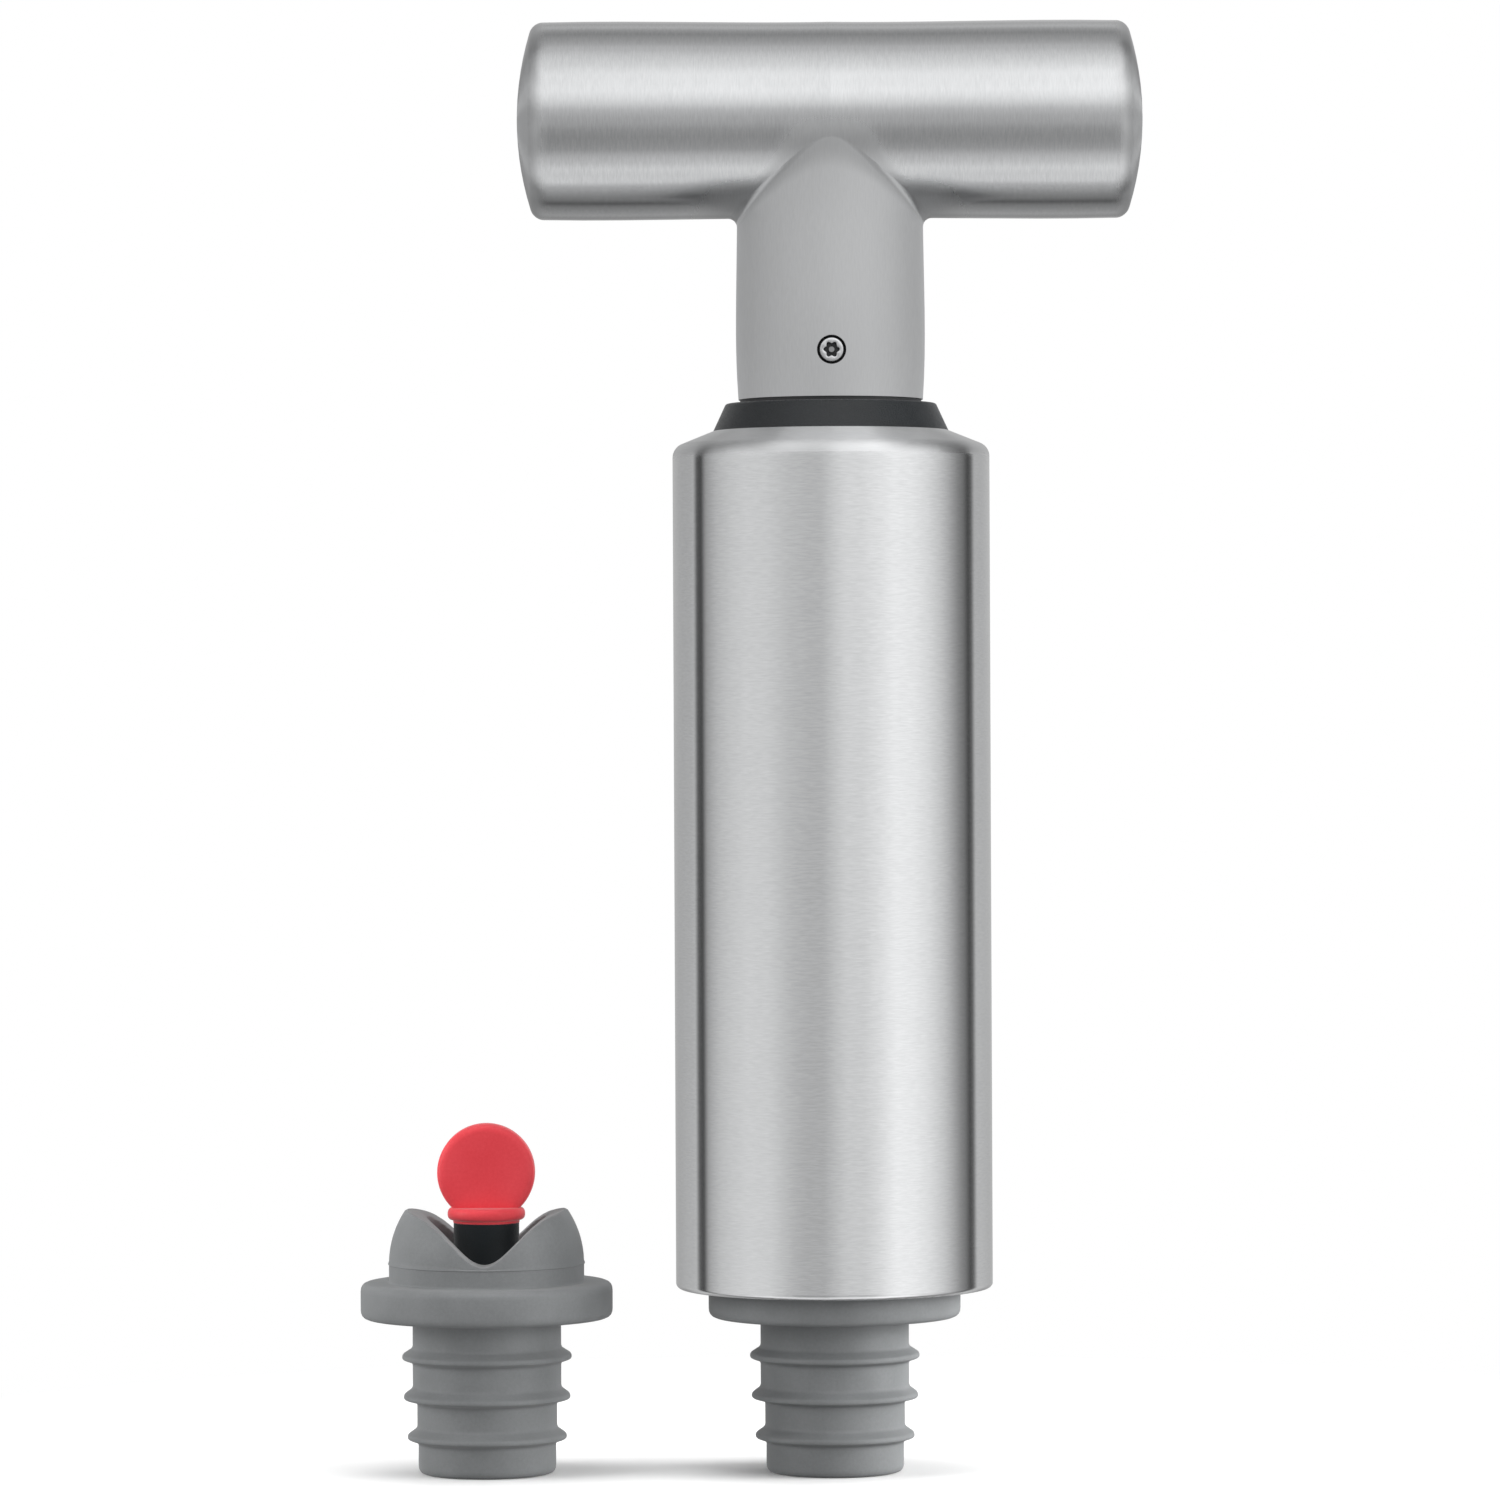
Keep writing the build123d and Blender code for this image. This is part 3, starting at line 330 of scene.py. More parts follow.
def handle_steel():
    """Stainless steel T: the bar brushed round its length, and the neck brushed along its height."""
    material, tree, shader = new_material("brushed_stainless_steel_handle")
    share = handle_zones(tree, add_node(tree, "TexCoord").outputs["Object"])
    neck = share["neck"]
    # The bar's ends, its seam with the neck and its underside beside the neck, where the belt
    # doesn't reach, were blended by hand, so their gloss spreads both ways
    seam = add_node(tree, "Math", {0: share["at_seam"], 1: share["lower_half"]}, operation="MULTIPLY")
    low = add_node(tree, "Math", {0: share["beside_neck"], 1: share["underside"]}, operation="MULTIPLY")
    blended = add_node(tree, "Math", {0: share["bar_end"], 1: seam}, operation="MAXIMUM")
    blended = add_node(tree, "Math", {0: blended, 1: low}, operation="MAXIMUM")
    bar_lines = pattern(tree, (SCRATCH_ACROSS, SCRATCH_ALONG, SCRATCH_ALONG))
    bar_clouds = pattern(tree, (CLOUD_ACROSS, CLOUD_ALONG, CLOUD_ALONG), BROAD)
    neck_lines = pattern(tree, (SCRATCH_ACROSS, SCRATCH_ACROSS, SCRATCH_ALONG))
    neck_clouds = pattern(tree, (CLOUD_ACROSS, CLOUD_ACROSS, CLOUD_ALONG), BROAD)
    # The neck was brushed more lightly, so its scratches show less
    neck_lines = add_node(tree, "MapRange", {"Value": neck_lines, **USUAL, "To Min": 0.35, "To Max": 0.65})
    lines = add_node(tree, "Mix", {"Factor": neck, "A": bar_lines, "B": neck_lines})
    # The bar's tone is painted a little darker than the neck's, as painted shade on the same steel
    shaded_bar_tone = steel_tone(tree, bar_lines, bar_clouds, "#b5b6b7", "#bfc0c1")
    neck_tone = steel_tone(tree, neck_lines, neck_clouds, "#c8c9ca", "#d2d3d4")
    tone = add_node(tree, "Mix", {"Factor": neck, "A": shaded_bar_tone, "B": neck_tone}, data_type="RGBA")
    normal = add_node(tree, "NewGeometry").outputs["Normal"]
    round_neck = add_node(tree, "VectorMath", {0: (0, 0, 1), 1: normal}, operation="CROSS_PRODUCT")
    direction = add_node(tree, "Mix", {"Factor": neck, "A": (1, 0, 0), "B": round_neck}, data_type="VECTOR")
    roughness = add_node(tree, "Mix", {"Factor": blended, "A": BELT_ROUGHNESS, "B": BLENDED_ROUGHNESS})
    roughness = add_node(tree, "Mix", {"Factor": neck, "A": roughness, "B": NECK_ROUGHNESS})
    steel_finish(tree, shader, tone, lines, direction, roughness)
    return material


def screw_steel():
    """Plain steel screw, cold formed and left a little bright, with painted shade dark in its recess."""
    material, tree, shader = new_material("plain_steel_screw")
    marks = pattern(tree, MARK_WAVES)
    place = add_node(tree, "TexCoord").outputs["Object"]
    depth = add_node(tree, "SeparateXYZ", {0: place}).outputs["Y"]
    # Painted shade: the colour darkens with depth in the recess, standing in for the shade there
    start, full = screw_low.y + RECESS_SHADE_START, screw_low.y + RECESS_SHADE_FULL
    recess_shade = add_node(tree, "MapRange", {"Value": depth, "From Min": start * MM, "From Max": full * MM})
    inputs = {"Factor": marks, "A": linear("#b4b5b7"), "B": linear("#d2d3d4")}
    bright = add_node(tree, "Mix", inputs, data_type="RGBA")
    inputs = {"Factor": recess_shade, "A": bright, "B": linear("#3a3b3c")}
    set_inputs(tree, shader, {
        "Metallic": 1.0,
        "Base Color": add_node(tree, "Mix", inputs, data_type="RGBA"),
        "Roughness": add_node(tree, "MapRange", {"Value": marks, **USUAL, "To Min": 0.24, "To Max": 0.36}),
    })
    return material


def moulded_plastic(name, dark, light, roughness, ior, grain_depth, specular=0.5):
    """Moulded plastic or rubber: a fine spark grain from the tool and a faint unevenness in its tone.

    The grain breaks up the gloss, so the surface reads as matte with a soft sheen on its edges."""
    material, tree, shader = new_material(name)
    grain = pattern(tree, GRAIN_WAVES, FINE, GRAIN_ROUGHNESS)
    flow = pattern(tree, PLASTIC_FLOW, BROAD)
    tone = add_node(tree, "Mix", {"Factor": 0.5, "A": grain, "B": flow})
    swing = {"To Min": roughness - PLASTIC_SWING, "To Max": roughness + PLASTIC_SWING}
    set_inputs(tree, shader, {
        "IOR": ior,
        "Specular IOR Level": specular,
        "Base Color": two_tone(tree, tone, dark, light),
        "Roughness": add_node(tree, "MapRange", {"Value": grain, **USUAL, **swing}),
        "Normal": add_node(tree, "Bump", {"Height": grain, "Distance": grain_depth * MM}),
    })
    return material


def silicone(name, dark, light, roughness):
    """Moulded silicone: dull and a little soft, with fine tooling rings round it and a dusty tone.

    Its light is spread so wide that the eye sees no highlight, only a pale bloom on its edges."""
    material, tree, shader = new_material(name)
    rings = pattern(tree, RING_WAVES, BROAD)
    dust = pattern(tree, DUST_WAVES, FINE, DUST_ROUGHNESS)
    flow = pattern(tree, SILICONE_FLOW, BROAD)
    tone = add_node(tree, "Mix", {"Factor": 0.5, "A": dust, "B": flow})
    relief = add_node(tree, "Mix", {"Factor": 0.5, "A": rings, "B": dust})
    swing = {"To Min": roughness - SILICONE_SWING, "To Max": roughness + SILICONE_SWING}
    set_inputs(tree, shader, {
        "IOR": SILICONE_IOR,
        "Base Color": two_tone(tree, tone, dark, light),
        "Roughness": add_node(tree, "MapRange", {"Value": dust, **USUAL, **swing}),
        "Normal": add_node(tree, "Bump", {"Height": relief, "Distance": SILICONE_RELIEF * MM}),
    })
    return material


steel_of_barrel = barrel_steel()
steel_of_handle = handle_steel()
steel_of_screws = screw_steel()
# Glass-filled nylon from a deeply grained tool: near black, with a broken sheen where it turns away
black_nylon = moulded_plastic("grained_black_nylon", "#05080a", "#0d1216", roughness=0.34, ior=1.5,
                              grain_depth=0.12)
# Acetal from a smoother tool: an even near black with hardly any sheen
black_acetal = moulded_plastic("smooth_black_acetal", "#0e1315", "#181d20", roughness=0.48, ior=1.48,
                               grain_depth=0.04, specular=0.2)
# Polypropylene without a dye, from a polished tool: a pale, slightly warm white
natural_polypropylene = moulded_plastic("natural_polypropylene", "#b6b6b1", "#c3c3be", roughness=0.42,
                                        ior=1.49, grain_depth=0.006)
# Nitrile rubber pressed in a polished tool: dull black
black_rubber = moulded_plastic("moulded_nitrile_rubber", "#131415", "#1a1b1c", roughness=0.6, ior=1.52,
                               grain_depth=0.01)
grey_silicone = silicone("moulded_grey_silicone", "#6e7071", "#7d7f80", roughness=0.52)
red_silicone = silicone("moulded_red_silicone", "#d93b44", "#e64c54", roughness=0.42)

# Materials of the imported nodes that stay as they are
node_materials = {
    "outer_sleeve": steel_of_barrel,
    "t_handle": steel_of_handle,
    "piston_screw": steel_of_screws,
    "top_collar": black_nylon,
    "handle_insert": black_nylon,
    "piston_rod": black_nylon,
    "piston_head": black_nylon,
    "rod_guide": black_nylon,
    "base_socket": black_nylon,
    "cylinder_base": black_nylon,
    "valve_cage": black_acetal,
    "spare_valve_cage": black_acetal,
    "valve_plug": black_acetal,
    "spare_valve_plug": black_acetal,
    "inner_cylinder": natural_polypropylene,
    "bumper_ring": black_rubber,
    "piston_seal": black_rubber,
    "cylinder_seal": black_rubber,
    "socket_gasket": black_rubber,
    "valve_seal": black_rubber,
    "spare_valve_seal": black_rubber,
}
for node_name, material in node_materials.items():
    for slot in nodes[node_name].material_slots:
        slot.material = material


# Stopper body: silicone plug with three ribs, a flange and a crown with two peaks.
# Radii and heights of its outline, and how far from a corner its rounding starts
flange_radius = (stopper_high.x - stopper_low.x) / 2
CORE_RADIUS = 5.92
TIP_RADIUS = 8.6
TIP_ROUNDING = 1.0
MIDDLE_RADIUS = 8.74
WAIST_RADIUS = 9.28
RIB_HEIGHTS = (4.6, 9.6, 14.6)
RIB_CRESTS = (9.95, 10.41, 10.6)
# The four corners of a rib: how far over the rib's height each lies, and its rounding
RIB_RISES = (-0.75, -0.3, 0.25, 1.1)
RIB_ROUNDINGS = (0.4, 0.25, 0.3, 0.4)
FLANGE_FOOT = 19.4
FLANGE_TOP = 23.9
FLANGE_ROUNDINGS = (0.35, 1.1, 1.1, 0.35)
BAND_RADIUS = 12.2
BAND_TOP = 26.2
# Thin line that the mould's halves leave on the band: how far it stands out, and its two edges
FLASH_HEIGHT = 0.1
FLASH_EDGES = (-0.02, 0.04)
# Radius of the crown's bulging side, seen from the side
CROWN_SIDE = 12.0
CROWN_STEPS = 14
CROWN_POINTS = 44
RIM_SOFTNESS = 0.35
RIM_ROUNDS = 60
CUP_RADIUS = 7.4
CUP_FLOOR = 25.4
CAGE_FLANGE_RADIUS = 7.02
CAGE_FLANGE_FOOT = 24.2
# Saddle line of the crown: its lowest height, and distance across and rise over that
VALLEY = 26.6
SADDLE_ACROSS = (0.0, 1.69, 3.98, 5.97, 7.96, 11.44)
SADDLE_RISE = (0.0, 0.59, 2.64, 4.49, 5.74, 6.6)


def plug_outline():
    """Outline from the bore of the foot, up over the ribs and the flange, to the foot of the crown."""
    corners, reaches = [(CORE_RADIUS, 0), (TIP_RADIUS, 0)], [TIP_ROUNDING]
    cores = (TIP_RADIUS, MIDDLE_RADIUS, WAIST_RADIUS, WAIST_RADIUS)
    for below, above, height, crest in zip(cores, cores[1:], RIB_HEIGHTS, RIB_CRESTS):
        radii = (below, crest, crest, above)
        corners += [(radius, height + rise) for radius, rise in zip(radii, RIB_RISES)]
        reaches += RIB_ROUNDINGS
    corners += [(WAIST_RADIUS, FLANGE_FOOT), (flange_radius, FLANGE_FOOT), (flange_radius, FLANGE_TOP),
                (BAND_RADIUS, FLANGE_TOP), (BAND_RADIUS, BAND_TOP - FLASH_HEIGHT)]
    reaches += FLANGE_ROUNDINGS
    return rounded_outline(corners, reaches)


def saddle_height(across):
    """Height of the saddle at a distance from the middle: a cubic through given points."""
    return VALLEY + smooth_curve(np.abs(across), SADDLE_ACROSS, SADDLE_RISE)


def crown_side_radius(height):
    """Radius of the crown's bulging side: an upright circle that starts straight up at the band."""
    return BAND_RADIUS - CROWN_SIDE + np.sqrt(CROWN_SIDE**2 - np.clip(height - BAND_TOP, 0, None) ** 2)


def crown_outline(angle):
    """Outline over the crown at each angle: up the bulging side, over the saddle's rim and down the cup.

    The rim's height is where the side meets the saddle, found by repeated substitution. A moving
    average along the outline rounds the rim's two corners."""
    run = np.cos(angle)
    rim = np.full_like(angle, BAND_TOP)
    for _ in range(RIM_ROUNDS):
        rim = 0.5 * rim + 0.5 * saddle_height(crown_side_radius(rim) * run)
    share = np.linspace(0, 1, CROWN_STEPS)
    side_z = BAND_TOP + (rim[:, None] - BAND_TOP) * share
    side = np.stack([crown_side_radius(side_z), side_z], axis=-1)
    top_r = crown_side_radius(rim)[:, None] * (1 - share) + CUP_RADIUS * share
    top = np.stack([top_r, saddle_height(top_r * run[:, None])], axis=-1)
    cup_foot = np.broadcast_to((CUP_RADIUS, CUP_FLOOR), (len(angle), 1, 2))
    return even_and_soften(np.concatenate([side, top[:, 1:], cup_foot], axis=1), CROWN_POINTS, RIM_SOFTNESS)


def stopper_mesh(name, centre_x, place_count=360):
    """Surface of revolution of the plug's outline, run on at each angle into the crown's own outline.

    x = centre + r cos(angle), y = r sin(angle), and the ring closes through the core's bore."""
    angle = np.linspace(0, 2 * np.pi, place_count, endpoint=False)
    flash = [(BAND_RADIUS + FLASH_HEIGHT, BAND_TOP + edge) for edge in FLASH_EDGES]
    below = np.vstack([plug_outline(), flash])
    inner = np.array([(CAGE_FLANGE_RADIUS, CUP_FLOOR), (CAGE_FLANGE_RADIUS, CAGE_FLANGE_FOOT),
                      (CORE_RADIUS, CAGE_FLANGE_FOOT)])
    same_all_round = [np.repeat(part[None], place_count, axis=0) for part in (below, inner)]
    outline = np.concatenate([same_all_round[0], crown_outline(angle)[:, 1:], same_all_round[1]], axis=1)
    radius, height = outline[..., 0].T, outline[..., 1].T
    rings = np.stack([centre_x + radius * np.cos(angle), radius * np.sin(angle), height], axis=-1)
    return mesh_of(name, shell(rings, loop=True))


dress("stopper_silicone", stopper_mesh("stopper_silicone", 0.0), grey_silicone,
      "stopper", "grey_silicone", "stopper_body")
dress("spare_stopper_silicone", stopper_mesh("spare_stopper_silicone", spare_x), grey_silicone,
      "spare_stopper", "grey_silicone", "spare_stopper_body")


# Pull tab: upright disc over a beaded ring, in soft red silicone
TAB_THICKNESS = 4.0
TAB_ROUNDING = 1.1
BAND_HEIGHT = 0.35
BAND_OVERHANG = 0.05
BEAD_HEIGHT = 1.6
BEAD_RADIUS = 4.85
# Roundings of the band's two corners and the bead's two
BEAD_ROUNDINGS = (0.1, 0.12, 0.75, 0.8)
STEM_RADIUS = 4.1
# Share of the radius that the fan at a pole covers
FAN_SHARE = 0.5
tab_radius = (tab_high.x - tab_low.x) / 2
tab_centre_z = tab_high.z - tab_radius


def tab_disc(centre_x, place_count=160):
    """Outline of a coin with flat faces and a round edge, turned about the front-to-back axis."""
    half, inner = TAB_THICKNESS / 2, tab_radius * FAN_SHARE
    corners = [(inner, -half), (tab_radius, -half), (tab_radius, half), (inner, half)]
    radius, depth = rounded_outline(corners, [TAB_ROUNDING, TAB_ROUNDING], steps=14).T[:, :, None]
    angle = np.linspace(0, 2 * np.pi, place_count, endpoint=False)
    place = (centre_x + radius * np.cos(angle), depth, tab_centre_z - radius * np.sin(angle))
    rings = np.stack(np.broadcast_arrays(*place), axis=-1)
    return shell(rings, foot_pole=(centre_x, -half, tab_centre_z), top_pole=(centre_x, half, tab_centre_z))


def tab_bead(centre_x, place_count=120):
    """Outline of a round bead over a short band, turned about the upright axis."""
    foot = tab_low.z
    bead_foot = foot + BAND_HEIGHT
    top = bead_foot + BEAD_HEIGHT
    inner, band = STEM_RADIUS * FAN_SHARE, STEM_RADIUS + BAND_OVERHANG
    corners = [(inner, foot), (band, foot), (band, bead_foot), (BEAD_RADIUS, bead_foot), (BEAD_RADIUS, top),
               (inner, top)]
    radius, height = rounded_outline(corners, BEAD_ROUNDINGS, steps=8).T[:, :, None]
    angle = np.linspace(0, 2 * np.pi, place_count, endpoint=False)
    place = (centre_x + radius * np.cos(angle), radius * np.sin(angle), height)
    rings = np.stack(np.broadcast_arrays(*place), axis=-1)
    return shell(rings, foot_pole=(centre_x, 0, foot), top_pole=(centre_x, 0, top))


def tab_mesh(name, centre_x):
    """Disc and bead of one pull tab."""
    return mesh_of(name, tab_disc(centre_x), tab_bead(centre_x))


dress("pull_tab_silicone", tab_mesh("pull_tab_silicone", 0.0), red_silicone,
      "stopper_valve", "red_silicone", "pull_tab")
dress("spare_pull_tab_silicone", tab_mesh("spare_pull_tab_silicone", spare_x), red_silicone,
      "spare_valve", "red_silicone", "spare_pull_tab")


# Handle screw: round head with a six-lobed driver recess, and its shank
HEAD_RADIUS = (screw_high.x - screw_low.x) / 2
HEAD_HEIGHT = 1.6
SHANK_RADIUS = 1.1
LOBES = 6
LOBE_MIDDLE = 0.84
LOBE_SWING = 0.12
RECESS_DEPTH = 1.0
BUTTON_RADIUS = 0.42
BUTTON_DEPTH = 0.12


def screw_mesh(name, place_count=180):
    """Head, recess and shank as one closed surface about the front-to-back axis.

    The recess has radius middle + swing cos(lobes times angle), with a chamfered mouth and a raised
    button on its floor. Each ring has a radius and a depth behind the front of the head."""
    centre_z = (screw_low.z + screw_high.z) / 2
    front, back = screw_low.y, screw_high.y
    length = back - front
    angle = np.linspace(0, 2 * np.pi, place_count, endpoint=False)
    lobe = LOBE_MIDDLE + LOBE_SWING * np.cos(LOBES * angle)
    button = [(BUTTON_RADIUS * 0.8, BUTTON_DEPTH), (BUTTON_RADIUS, BUTTON_DEPTH + 0.08),
              (BUTTON_RADIUS, RECESS_DEPTH)]
    recess = [(lobe, RECESS_DEPTH), (lobe, 0.1), (lobe + 0.06, 0.02), (lobe + 0.12, 0)]
    head = [(HEAD_RADIUS - 0.2, 0), (HEAD_RADIUS - 0.08, 0.04), (HEAD_RADIUS, 0.16),
            (HEAD_RADIUS, HEAD_HEIGHT)]
    shank = [(SHANK_RADIUS, HEAD_HEIGHT), (SHANK_RADIUS, length - 0.4), (SHANK_RADIUS - 0.4, length)]
    rings = []
    for radius, depth in button + recess + head + shank:
        place = (radius * np.cos(angle), front + depth, centre_z - radius * np.sin(angle))
        rings.append(np.stack(np.broadcast_arrays(*place), axis=-1))
    foot_pole = (0, front + BUTTON_DEPTH, centre_z)
    return mesh_of(name, shell(np.array(rings), foot_pole, top_pole=(0, back, centre_z)))


dress("six_lobe_screw", screw_mesh("six_lobe_screw"), steel_of_screws,
      "plunger", "screw_steel", "handle_screw")


# The spare stands well clear of the pump, so it stays out of the steel's reflections. The dark
# collar stays out too, which keeps the barrel's shoulder and the bar's underside light
for piece_name in ("spare_stopper_silicone", "spare_pull_tab_silicone"):
    bpy.data.objects[piece_name].visible_glossy = False
for node_name in ("spare_valve_cage", "spare_valve_plug", "spare_valve_seal", "top_collar"):
    nodes[node_name].visible_glossy = False


# Studio: pale floor, even light, and a camera where the photograph's was.
# The picture's size and scale in pixels, and where in it the pump's axis and the floor lie
PHOTO_PIXELS = 1500
PIXELS_PER_MM = 8.0
AXIS_PIXEL = 832.2
FLOOR_PIXEL = 1471.9
EYE_HEIGHT = 96.0
CAMERA_DISTANCE = 844.0
CAMERA_ROLL = math.radians(-0.25)
SENSOR = 36.0
# Nearest and furthest that the camera sees, in metres
CLIP_START = 0.01
CLIP_END = 50
# Half of the floor's side, and where its white sweep starts and is full, in metres
FLOOR_HALF = 3.0
SWEEP = {"From Min": 0.05, "From Max": 0.15}
# Where each soft lamp stands, its side, and its power in watts
LAMPS = {
    "top_box": ((0, -100, 1100), 1000, 6.5),
    "left_box": ((-1100, -250, 350), 700, 12.5),
    "right_box": ((1100, -150, 350), 700, 17.0),
    "front_right_box": ((850, -700, 200), 500, 7.5),
    "back_right_box": ((800, 700, 300), 500, 4.0),
}
LAMP_TARGET = (0, 0, 90)


def place_camera():
    """Camera at the eye height, aimed at the picture's middle, with the lens that gives its scale."""
    frame_width = PHOTO_PIXELS / PIXELS_PER_MM
    middle_x = (PHOTO_PIXELS / 2 - AXIS_PIXEL) / PIXELS_PER_MM
    middle_z = (FLOOR_PIXEL - PHOTO_PIXELS / 2) / PIXELS_PER_MM
    camera = bpy.data.objects.new("camera", bpy.data.cameras.new("camera"))
    bpy.context.scene.collection.objects.link(camera)
    camera.location = Vector((middle_x, -CAMERA_DISTANCE, EYE_HEIGHT)) * MM
    aim = Vector((middle_x, 0, middle_z)) * MM - camera.location
    roll = Quaternion((0, 0, 1), CAMERA_ROLL)
    camera.rotation_euler = (aim.to_track_quat("-Z", "Y") @ roll).to_euler()
    camera.data.sensor_width = SENSOR
    camera.data.lens = SENSOR * aim.length / (frame_width * MM)
    camera.data.clip_start = CLIP_START
    camera.data.clip_end = CLIP_END
    bpy.context.scene.camera = camera


def floor_material():
    """Matte white paper. Further off it is plain white to the camera, as a lit sweep is, so that only the
    shadow near the pump shows, and it lets the steel see the studio below the table's edge."""
    material, tree, shader = new_material("white_paper_floor")
    path = add_node(tree, "LightPath").outputs
    place = add_node(tree, "TexCoord").outputs["Object"]
    away = add_node(tree, "VectorMath", {0: place}, operation="LENGTH")
    far = add_node(tree, "MapRange", {"Value": away, **SWEEP})
    far = add_node(tree, "Math", {0: far, 1: path["Is Camera Ray"]}, operation="MULTIPLY")
    inputs = {"Factor": path["Is Camera Ray"], "A": linear("#9c9c9c"), "B": linear("#ffffff")}
    colour = add_node(tree, "Mix", inputs, data_type="RGBA")
    set_inputs(tree, shader, {"Base Color": colour, "Roughness": 0.9, "Specular IOR Level": 0.0})
    sweep = add_node(tree, "Emission", {"Color": linear("#ffffff"), "Strength": 1.0})
    paper = add_node(tree, "MixShader", {0: far, 1: shader, 2: sweep})
    gap = add_node(tree, "BsdfTransparent")
    seen = add_node(tree, "MixShader", {0: path["Is Glossy Ray"], 1: paper, 2: gap})
    set_inputs(tree, tree.nodes["Material Output"], {"Surface": seen})
    return material


def lay_floor():
    """Flat square of paper."""
    corners = [(-FLOOR_HALF, -FLOOR_HALF, 0), (FLOOR_HALF, -FLOOR_HALF, 0),
               (FLOOR_HALF, FLOOR_HALF, 0), (-FLOOR_HALF, FLOOR_HALF, 0)]
    mesh = bpy.data.meshes.new("studio_floor")
    mesh.from_pydata(corners, [], [(0, 1, 2, 3)])
    floor = bpy.data.objects.new("studio_floor", mesh)
    bpy.context.scene.collection.objects.link(floor)
    mesh.materials.append(floor_material())


# Brightness of the studio round the pump, by the angle in degrees from the camera's side towards
# the right: a soft box on each side with a gap between them, and a grey card behind each one's edge
ROUND_LEVELS = (
    (-180, 0.64), (-142, 0.70), (-125, 0.76), (-121, 0.83), (-116, 0.14), (-110, 0.10), (-105, 0.62),
    (-100, 0.75), (-92, 0.96), (-80, 1.16), (-66, 1.27), (-49, 1.23), (-30, 0.97), (-18, 0.89),
    (-8, 0.89), (0, 1.08), (9, 1.27), (21, 1.30), (33, 1.48), (46, 1.74), (60, 1.69), (74, 1.47),
    (86, 1.13), (96, 0.75), (104, 0.47), (111, 0.31), (117, 0.10), (122, 0.19), (127, 0.82), (142, 0.77),
    (180, 0.71),
)
# Its share by the height in degrees over the level, on the camera's side: a large box from above,
# a gap at the camera's own height, and the lit table below
FRONT_LEVELS = (
    (-90, 0.46), (-80, 0.90), (-70, 0.75), (-62, 0.74), (-54, 0.58), (-46, 0.49), (-38, 0.34),
    (-30, 0.29), (-22, 0.28), (-15, 0.31), (-8, 0.39), (0, 0.44), (8, 0.54), (15, 0.73), (22, 0.87),
    (30, 0.97), (38, 0.95), (50, 0.94), (62, 0.83), (72, 0.80), (82, 0.76), (90, 0.66),
)
# The same behind the pump: a wall with a grey card over it and one under it
BACK_LEVELS = (
    (-90, 0.45), (-84, 0.36), (-77, 0.32), (-70, 0.26), (-63, 0.13), (-55, 0.32), (-45, 0.42),
    (-33, 0.50), (-20, 0.35), (0, 0.50), (20, 0.59), (33, 0.55), (45, 0.69), (55, 0.47), (63, 0.36),
    (70, 0.40), (77, 0.44), (84, 0.48), (90, 0.68),
)
# What that is multiplied by beside the pump: the side boxes are brightest under the level, and it is
# dark over them
SIDE_LEVELS = (
    (-90, 1.0), (-40, 1.5), (-12, 1.55), (-1, 1.0), (8, 0.72), (14, 0.72), (28, 0.72), (40, 0.2), (60, 0.12),
    (80, 1.0), (90, 1.0),
)
# A ramp holds 0 to 1, so levels go into it as shares of LEVEL_TOP, which no level passes. The
# product of two levels is divided by LEVEL_MIDDLE, which is about the middle of them
LEVEL_TOP = 1.8
LEVEL_MIDDLE = 0.66
# Level straight overhead and underfoot, the same all round
POLE_LEVEL = 0.9
# Even glow that matte surfaces get from the camera's side and from behind
DIFFUSE_FRONT = 0.06
DIFFUSE_BACK = 0.58
# A ray's share towards the camera, its share sideways, and how level it is: the two values of each
# between which the front, the sides and the levels round the pump take over
FRONT_BLEND = (-0.26, 0.26)
SIDE_BLEND = (0.35, 0.75)
ROUND_BLEND = (0.2, 0.65)


def level_by(tree, angle, reach, stops):
    """Level by an angle in radians that runs from minus to plus a reach in degrees."""
    limit = math.radians(reach)
    share = add_node(tree, "MapRange", {"Value": angle, "From Min": -limit, "From Max": limit})
    ramp = add_node(tree, "ValToRGB", {"Fac": share})
    elements = ramp.color_ramp.elements
    # A new ramp has two elements, and only its first stays
    elements.remove(elements[-1])
    for number, (place, level) in enumerate(stops):
        element = elements.new((place + reach) / (2 * reach)) if number else elements[0]
        element.color = (level / LEVEL_TOP,) * 3 + (1,)
    return add_node(tree, "Math", {0: ramp, 1: LEVEL_TOP}, operation="MULTIPLY")


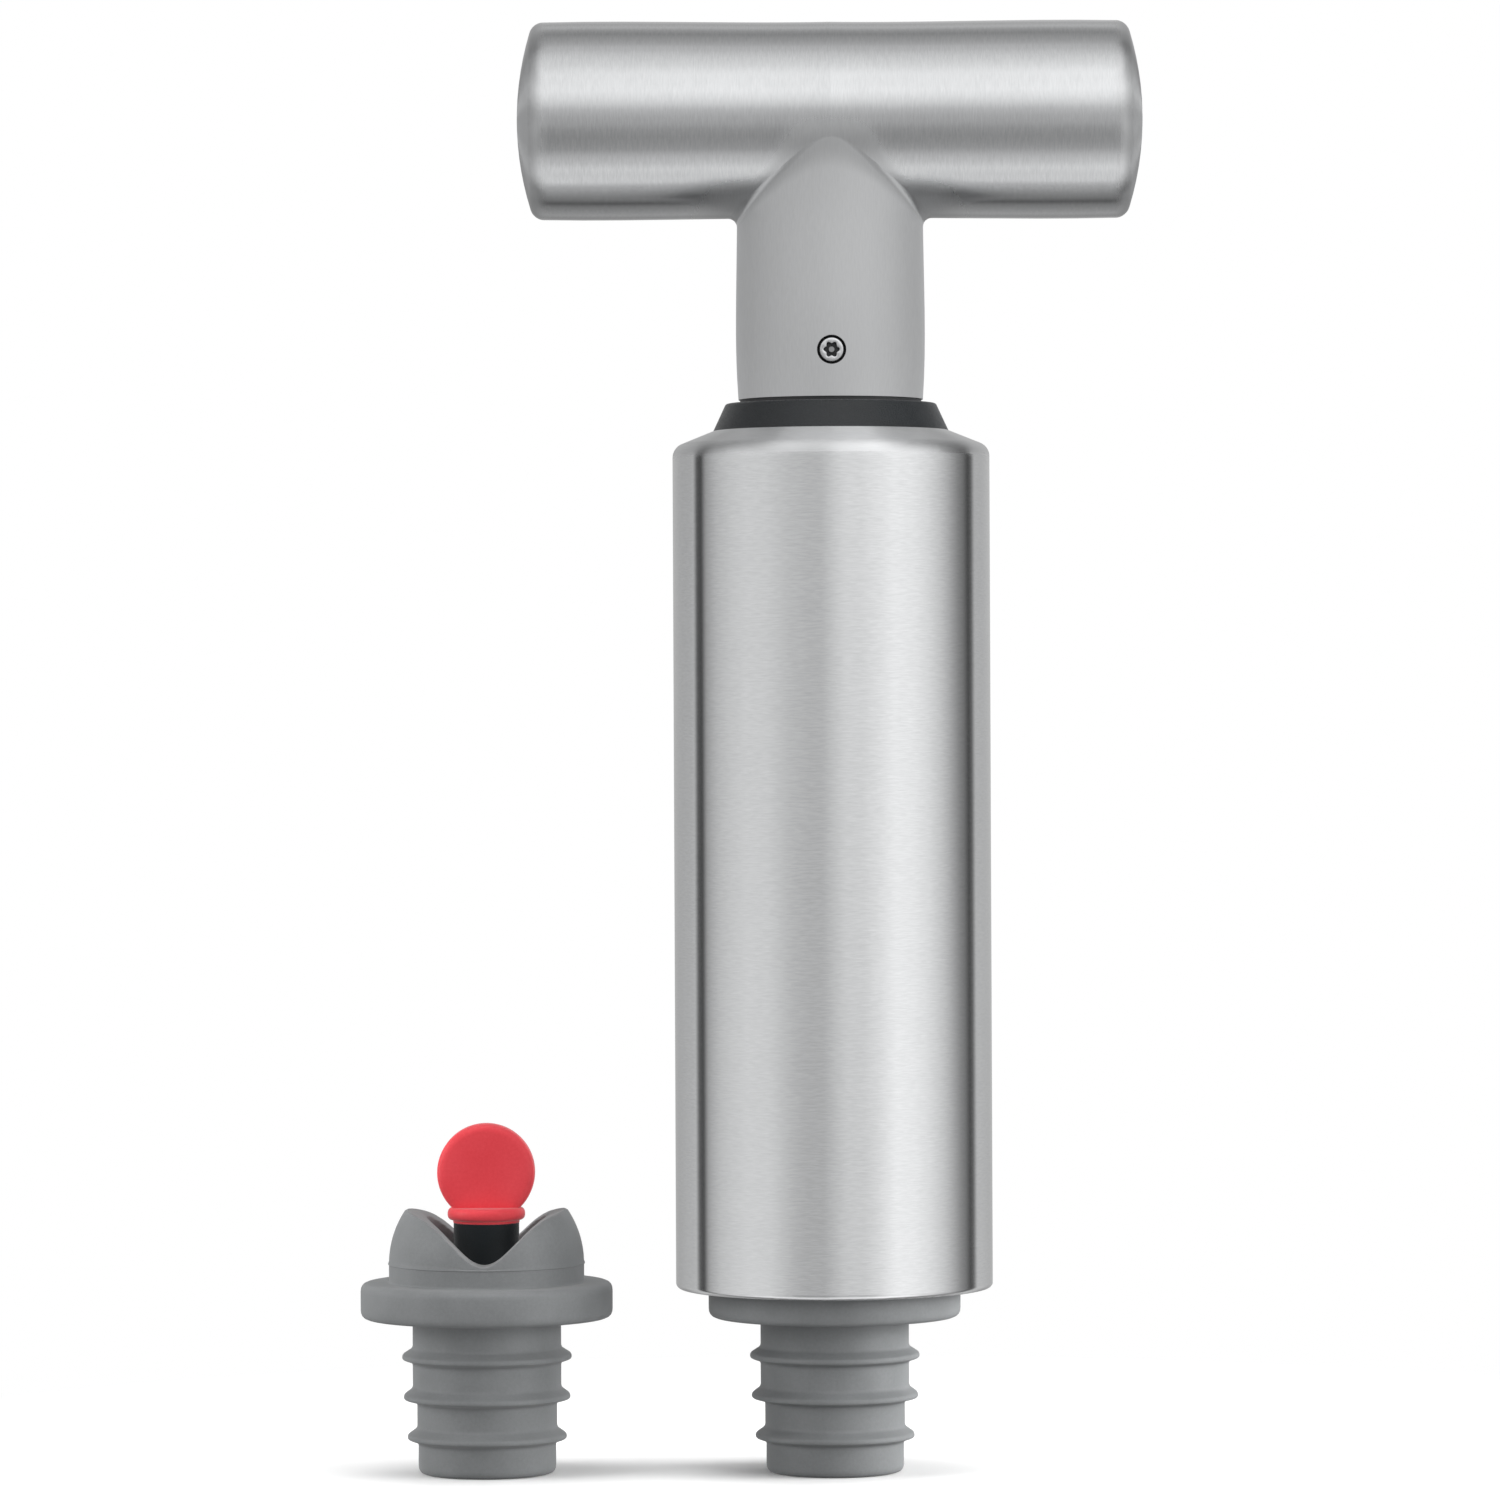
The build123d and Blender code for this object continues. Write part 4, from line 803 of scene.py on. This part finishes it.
def studio_world():
    """White to the camera, an even glow for matte surfaces, and soft boxes and cards for glossy ones.

    The glossy level is the level round the pump times the level by height. It passes smoothly from
    the camera's side to the back, and straight overhead it is the same all round."""
    world = bpy.data.worlds.new("studio")
    bpy.context.scene.world = world
    world.use_nodes = True
    tree = world.node_tree
    tree.nodes.clear()
    place = add_node(tree, "TexCoord").outputs["Generated"]
    axes = add_node(tree, "SeparateXYZ", {0: place}).outputs
    ahead = add_node(tree, "Math", {0: axes["Y"], 1: -1.0}, operation="MULTIPLY")
    aside = add_node(tree, "Math", {0: axes["X"]}, operation="ABSOLUTE")
    in_plan = add_node(tree, "VectorMath", {0: place, 1: (1, 1, 0)}, operation="MULTIPLY")
    away = add_node(tree, "VectorMath", {0: in_plan}, operation="LENGTH")
    turn = add_node(tree, "Math", {0: axes["X"], 1: ahead}, operation="ARCTAN2")
    rise = add_node(tree, "Math", {0: axes["Z"], 1: away}, operation="ARCTAN2")
    shares = []
    for measure, (start, full) in ((ahead, FRONT_BLEND), (aside, SIDE_BLEND), (away, ROUND_BLEND)):
        inputs = {"Value": measure, "From Min": start, "From Max": full}
        shares.append(add_node(tree, "MapRange", inputs, interpolation_type="SMOOTHSTEP"))
    front, beside, clear = shares
    back_level, front_level, side_level = [level_by(tree, rise, 90, levels)
                                           for levels in (BACK_LEVELS, FRONT_LEVELS, SIDE_LEVELS)]
    over = add_node(tree, "Mix", {"Factor": front, "A": back_level, "B": front_level})
    by_sides = add_node(tree, "Math", {0: over, 1: side_level}, operation="MULTIPLY")
    over = add_node(tree, "Mix", {"Factor": beside, "A": over, "B": by_sides})
    around = level_by(tree, turn, 180, ROUND_LEVELS)
    around = add_node(tree, "Mix", {"Factor": clear, "A": POLE_LEVEL, "B": around})
    product = add_node(tree, "Math", {0: around, 1: over}, operation="MULTIPLY")
    studio = add_node(tree, "Math", {0: product, 1: LEVEL_MIDDLE}, operation="DIVIDE")
    path = add_node(tree, "LightPath").outputs
    level = add_node(tree, "Mix", {"Factor": front, "A": DIFFUSE_BACK, "B": DIFFUSE_FRONT})
    for ray, seen in (("Is Glossy Ray", studio), ("Is Transmission Ray", 1.0), ("Is Camera Ray", 1.0)):
        level = add_node(tree, "Mix", {"Factor": path[ray], "A": level, "B": seen})
    background = add_node(tree, "Background", {"Color": level, "Strength": 1.0})
    add_node(tree, "OutputWorld", {"Surface": background})


def soft_box(name, place, size, power):
    """Square soft light aimed at the middle of the pump, unseen in reflections."""
    lamp = bpy.data.objects.new(name, bpy.data.lights.new(name, "AREA"))
    bpy.context.scene.collection.objects.link(lamp)
    lamp.location = Vector(place) * MM
    aim = Vector(LAMP_TARGET) * MM - lamp.location
    lamp.rotation_euler = aim.to_track_quat("-Z", "Y").to_euler()
    lamp.data.size = size * MM
    lamp.data.energy = power
    lamp.visible_glossy = False
    lamp.visible_camera = False


place_camera()
lay_floor()
studio_world()
for lamp_name, (place, size, power) in LAMPS.items():
    soft_box(lamp_name, place, size, power)
bpy.context.scene.view_settings.view_transform = "Standard"
